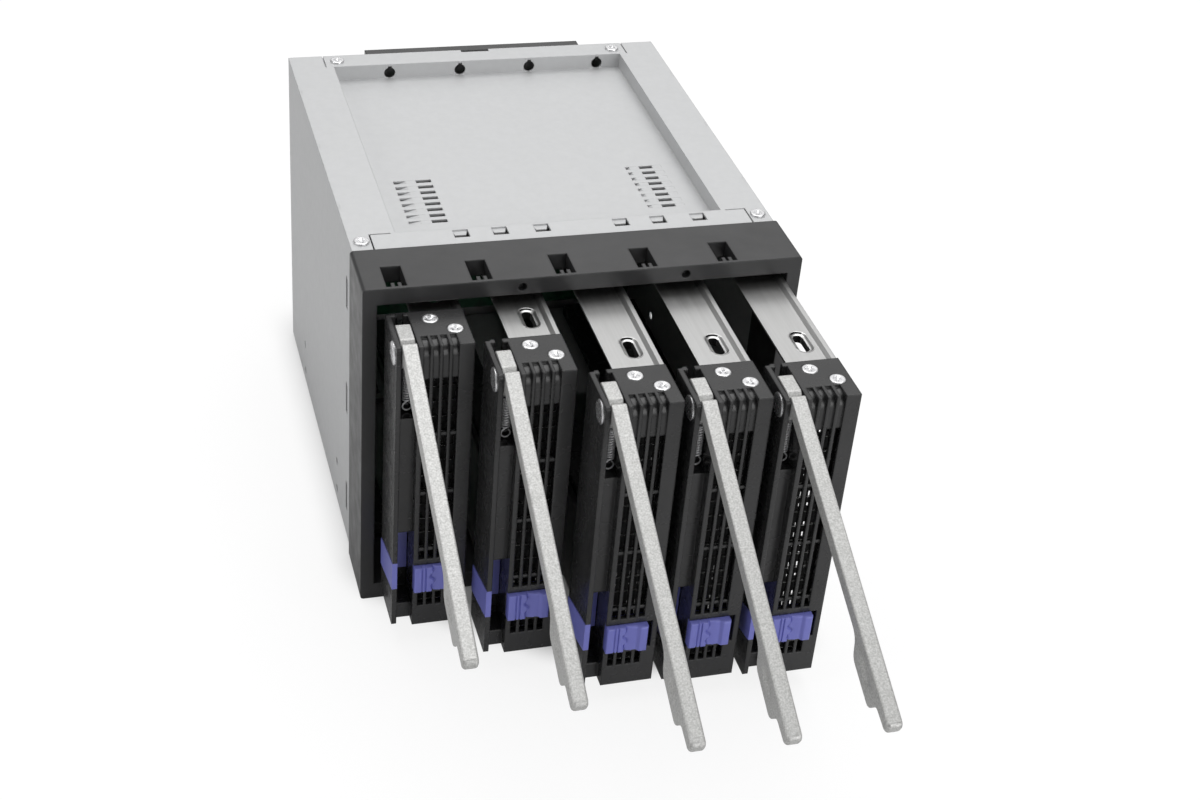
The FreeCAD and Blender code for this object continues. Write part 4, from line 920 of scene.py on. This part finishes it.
def make_cover_tongues():
    """Bridges and bent tongues in the louvres, and clips in the notches of the top cover."""
    bm = bmesh.new()
    top, under = PAN_TOP - SKIN, PAN_TOP - PAN_WALL + SKIN
    for row in range(LOUVRE_ROWS):
        front = LOUVRE_FIRST + LOUVRE_PITCH * row
        rear = front + LOUVRE_WIDTH
        foot = top - TONGUE_DIP - TONGUE_DIP_STEP * row
        plates = [CLOSED_END]
        for start, bend, end in TONGUES:
            tip = start + TONGUE_GAP
            tongue = [
                (tip, foot - TONGUE_WALL), (tip, foot), (bend, top), (bend, top - TONGUE_WALL),
            ]
            add_prism(bm, tongue, front + TONGUE_GAP, rear - TONGUE_GAP, upright)
            plates.append((bend, end))
        for start, end in plates:
            plate = [(start, under), (start, top), (end, top), (end, under)]
            add_prism(bm, plate, front - LOUVRE_LAP, rear + LOUVRE_LAP, upright)
    for middle in CLIP_PLACES:
        clip = [(middle + x, y) for x, y in CLIP_OUTLINE]
        foot, head = COVER_TOP - CLIP_FOOT_DROP, COVER_TOP - CLIP_TOP_DROP
        add_prism(bm, clip, foot, head, lying)
    name = "cover_tongues"
    new_object(name, finish_mesh(bm, name, smooth_angle=20.0), STEEL, "cage")


# Screens: fine punched sheets behind the perforated plates. Lengths in metres.

SCREEN_LEFT = 0.0084
SCREEN_FOOT = 0.0032
SCREEN_FACE = 0.0044
SCREEN_WALL = 0.0003
SCREEN_WIDTH = 0.0146
SCREEN_HEIGHT = 0.1062
# Holes: how many, margin before the first, pitch and size.
HOLE_COLUMNS = (5, 0.0006, 0.0028, 0.0014)
HOLE_ROWS = (25, 0.0022, 0.00415, 0.0019)


def hole_edges(start, end, count, margin, pitch, size):
    """Edges across a sheet: solid up to the first, then a hole up to the next, and so on."""
    edges = [start]
    for i in range(count):
        near = start + margin + pitch * i
        edges += [near, near + size]
    return edges + [end]


def add_perforated_sheet(bm, columns, rows, front, back):
    """A sheet in the XZ plane with a hole where both a column and a row are open."""
    layers = [[[bm.verts.new((x, y, z)) for z in rows] for x in columns] for y in (front, back)]
    for i in range(len(columns) - 1):
        for j in range(len(rows) - 1):
            corners = ((i, j), (i + 1, j), (i + 1, j + 1), (i, j + 1))
            near, far = ([layer[a][b] for a, b in corners] for layer in layers)
            if i % 2 and j % 2:
                bridge(bm, near, far)
            else:
                bm.faces.new(near)
                bm.faces.new(far)


def make_screens():
    """The fine punched screen that lies behind each perforated plate."""
    for k in TRAYS:
        low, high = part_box("tray_%d_front" % k)
        left = low.x + SCREEN_LEFT
        foot = low.z + SCREEN_FOOT
        face = low.y + SCREEN_FACE
        columns = hole_edges(left, left + SCREEN_WIDTH, *HOLE_COLUMNS)
        rows = hole_edges(foot, foot + SCREEN_HEIGHT, *HOLE_ROWS)
        bm = bmesh.new()
        add_perforated_sheet(bm, columns, rows, face, face + SCREEN_WALL)
        name = "tray_%d_screen" % k
        new_object(name, finish_mesh(bm, name), SCREEN, "tray_%d" % k)


# Studio. Lengths in metres, power in watts.

WORLD_FOR_CAMERA = 1.0
WORLD_FOR_LIGHT = 0.3
LAMPS = (
    # name, place, target, width, power
    ("top_softbox", (0.1, 0.35, 1.5), (0.0, 0.05, 0.06), 1.5, 17.6),
    ("rear_softbox", (0.5, 1.7, 1.15), (0.0, 0.05, 0.1), 1.4, 4.0),
    ("left_softbox", (-1.4, -0.1, 0.9), (0.0, 0.1, 0.06), 0.8, 4.2),
    ("front_fill", (0.7, -1.4, 0.6), (0.0, 0.0, 0.06), 1.2, 11.0),
)


def make_scene_light():
    """White surroundings, plain white to the camera but dimmer as light, and four soft lamps."""
    world = bpy.data.worlds.new("studio")
    bpy.context.scene.world = world
    world.use_nodes = True
    tree = world.node_tree
    background = tree.nodes["Background"]
    background.inputs["Color"].default_value = (1.0, 1.0, 1.0, 1.0)
    path = tree.nodes.new("ShaderNodeLightPath")
    strength = tree.nodes.new("ShaderNodeMapRange")
    strength.inputs["To Min"].default_value = WORLD_FOR_LIGHT
    strength.inputs["To Max"].default_value = WORLD_FOR_CAMERA
    tree.links.new(path.outputs["Is Camera Ray"], strength.inputs["Value"])
    tree.links.new(strength.outputs["Result"], background.inputs["Strength"])
    for name, spot, target, width, power in LAMPS:
        lamp = bpy.data.lights.new(name, "AREA")
        lamp.size = width
        lamp.energy = power
        obj = bpy.data.objects.new(name, lamp)
        obj.location = spot
        aim = Vector(target) - Vector(spot)
        obj.rotation_euler = aim.to_track_quat("-Z", "Y").to_euler()
        bpy.context.scene.collection.objects.link(obj)


# Floor. The zone under the cage, a painted shade zone where the floor's glow is mostly withdrawn,
# lies inside pairs of levels: outside the first, inside the second.

SLANT = 0.75
ZONE_X_LEFT = (-0.085, -0.06)
ZONE_X_RIGHT = (0.085, 0.06)
ZONE_Y_FRONT = (-0.06, -0.045)
ZONE_Y_REAR = (0.2, 0.17)
ZONE_SLANT = (-0.06, -0.035)
# Glow share away from the cage, and in the painted shade zone under it.
GLOW_AWAY_FROM_CAGE = 0.75
GLOW_IN_PAINTED_SHADE = 0.05
FLOOR_HALF_SIZE = 6.0
FLOOR_LEVEL = -0.0002
FLOOR_GREY = 0.7
FLOOR_ROUGHNESS = 0.7
FLOOR_GLOW = 1.12


def multiply(tree, first, second):
    """The product of two sockets."""
    product = tree.nodes.new("ShaderNodeMath")
    product.operation = "MULTIPLY"
    tree.links.new(first, product.inputs[0])
    tree.links.new(second, product.inputs[1])
    return product.outputs["Value"]


def floor_glow_share(tree):
    """The share of the floor's glow: little under the object, as painted shade, and most of it
    elsewhere.
    """
    coordinates = tree.nodes.new("ShaderNodeTexCoord")
    split = tree.nodes.new("ShaderNodeSeparateXYZ")
    tree.links.new(coordinates.outputs["Object"], split.inputs["Vector"])
    slant = tree.nodes.new("ShaderNodeMath")
    slant.operation = "MULTIPLY_ADD"
    slant.inputs[1].default_value = SLANT
    tree.links.new(split.outputs["X"], slant.inputs[0])
    tree.links.new(split.outputs["Y"], slant.inputs[2])
    limits = (
        (split.outputs["X"], ZONE_X_LEFT),
        (split.outputs["X"], ZONE_X_RIGHT),
        (split.outputs["Y"], ZONE_Y_FRONT),
        (split.outputs["Y"], ZONE_Y_REAR),
        (slant.outputs["Value"], ZONE_SLANT),
    )
    inside = []
    for place, (start, end) in limits:
        edge = tree.nodes.new("ShaderNodeMapRange")
        edge.interpolation_type = "SMOOTHSTEP"
        edge.inputs["From Min"].default_value = start
        edge.inputs["From Max"].default_value = end
        tree.links.new(place, edge.inputs["Value"])
        inside.append(edge.outputs["Result"])
    under = inside[0]
    for edge in inside[1:]:
        under = multiply(tree, under, edge)
    share = tree.nodes.new("ShaderNodeMapRange")
    share.inputs["To Min"].default_value = GLOW_AWAY_FROM_CAGE
    share.inputs["To Max"].default_value = GLOW_IN_PAINTED_SHADE
    tree.links.new(under, share.inputs["Value"])
    return share.outputs["Result"]


def make_floor():
    """A white floor that glows for the camera and keeps the object's soft shadow; under the cage
    its glow is mostly withdrawn, as painted shade.
    """
    bm = bmesh.new()
    bmesh.ops.create_grid(bm, x_segments=1, y_segments=1, size=FLOOR_HALF_SIZE)
    mesh = bpy.data.meshes.new("floor")
    bm.to_mesh(mesh)
    bm.free()
    floor = bpy.data.objects.new("floor", mesh)
    floor.location = (0.0, 0.0, FLOOR_LEVEL)
    bpy.context.scene.collection.objects.link(floor)
    grey = (FLOOR_GREY, FLOOR_GREY, FLOOR_GREY)
    mat, tree, shader = material("floor_white", grey, FLOOR_ROUGHNESS)
    glow = tree.nodes.new("ShaderNodeEmission")
    glow.inputs["Color"].default_value = (1.0, 1.0, 1.0, 1.0)
    glow.inputs["Strength"].default_value = FLOOR_GLOW
    path = tree.nodes.new("ShaderNodeLightPath")
    share = multiply(tree, path.outputs["Is Camera Ray"], floor_glow_share(tree))
    mix = tree.nodes.new("ShaderNodeMixShader")
    tree.links.new(share, mix.inputs["Fac"])
    tree.links.new(shader.outputs["BSDF"], mix.inputs[1])
    tree.links.new(glow.outputs["Emission"], mix.inputs[2])
    tree.links.new(mix.outputs["Shader"], tree.nodes["Material Output"].inputs["Surface"])
    mesh.materials.append(mat)


# Camera, as fitted to the photograph. Angles in degrees, place in metres, lens in mm.

CAMERA_YAW = 18.51
CAMERA_PITCH = -34.58
CAMERA_ROLL = 5.3
CAMERA_PLACE = (-0.163431, -0.510706, 0.447371)
CAMERA_SENSOR = 36.0
CAMERA_LENS = 57.77
CAMERA_NEAR = 0.01


def make_camera():
    """The photograph's viewpoint: above, to the left and in front of the cage."""
    yaw, pitch, roll = (math.radians(a) for a in (CAMERA_YAW, CAMERA_PITCH, CAMERA_ROLL))
    forward = Vector((
        math.sin(yaw) * math.cos(pitch),
        math.cos(yaw) * math.cos(pitch),
        math.sin(pitch),
    ))
    level = Vector((math.cos(yaw), -math.sin(yaw), 0.0))
    above = level.cross(forward)
    right = level * math.cos(roll) + above * math.sin(roll)
    up = above * math.cos(roll) - level * math.sin(roll)
    data = bpy.data.cameras.new("camera")
    data.sensor_width = CAMERA_SENSOR
    data.lens = CAMERA_LENS
    data.clip_start = CAMERA_NEAR
    camera = bpy.data.objects.new("camera", data)
    turn = Matrix((right, up, -forward)).transposed().to_4x4()
    camera.matrix_world = Matrix.Translation(CAMERA_PLACE) @ turn
    bpy.context.scene.collection.objects.link(camera)
    bpy.context.scene.camera = camera


def set_output_look():
    """Plain display of the rendered light."""
    bpy.context.scene.view_settings.view_transform = "Standard"


make_camera()
make_scene_light()
make_floor()
set_output_look()
dress_nodes()
make_screws()
make_springs()
make_pins()
make_screens()
make_levers()
make_latches()
make_slot_rims()
make_cover_tongues()
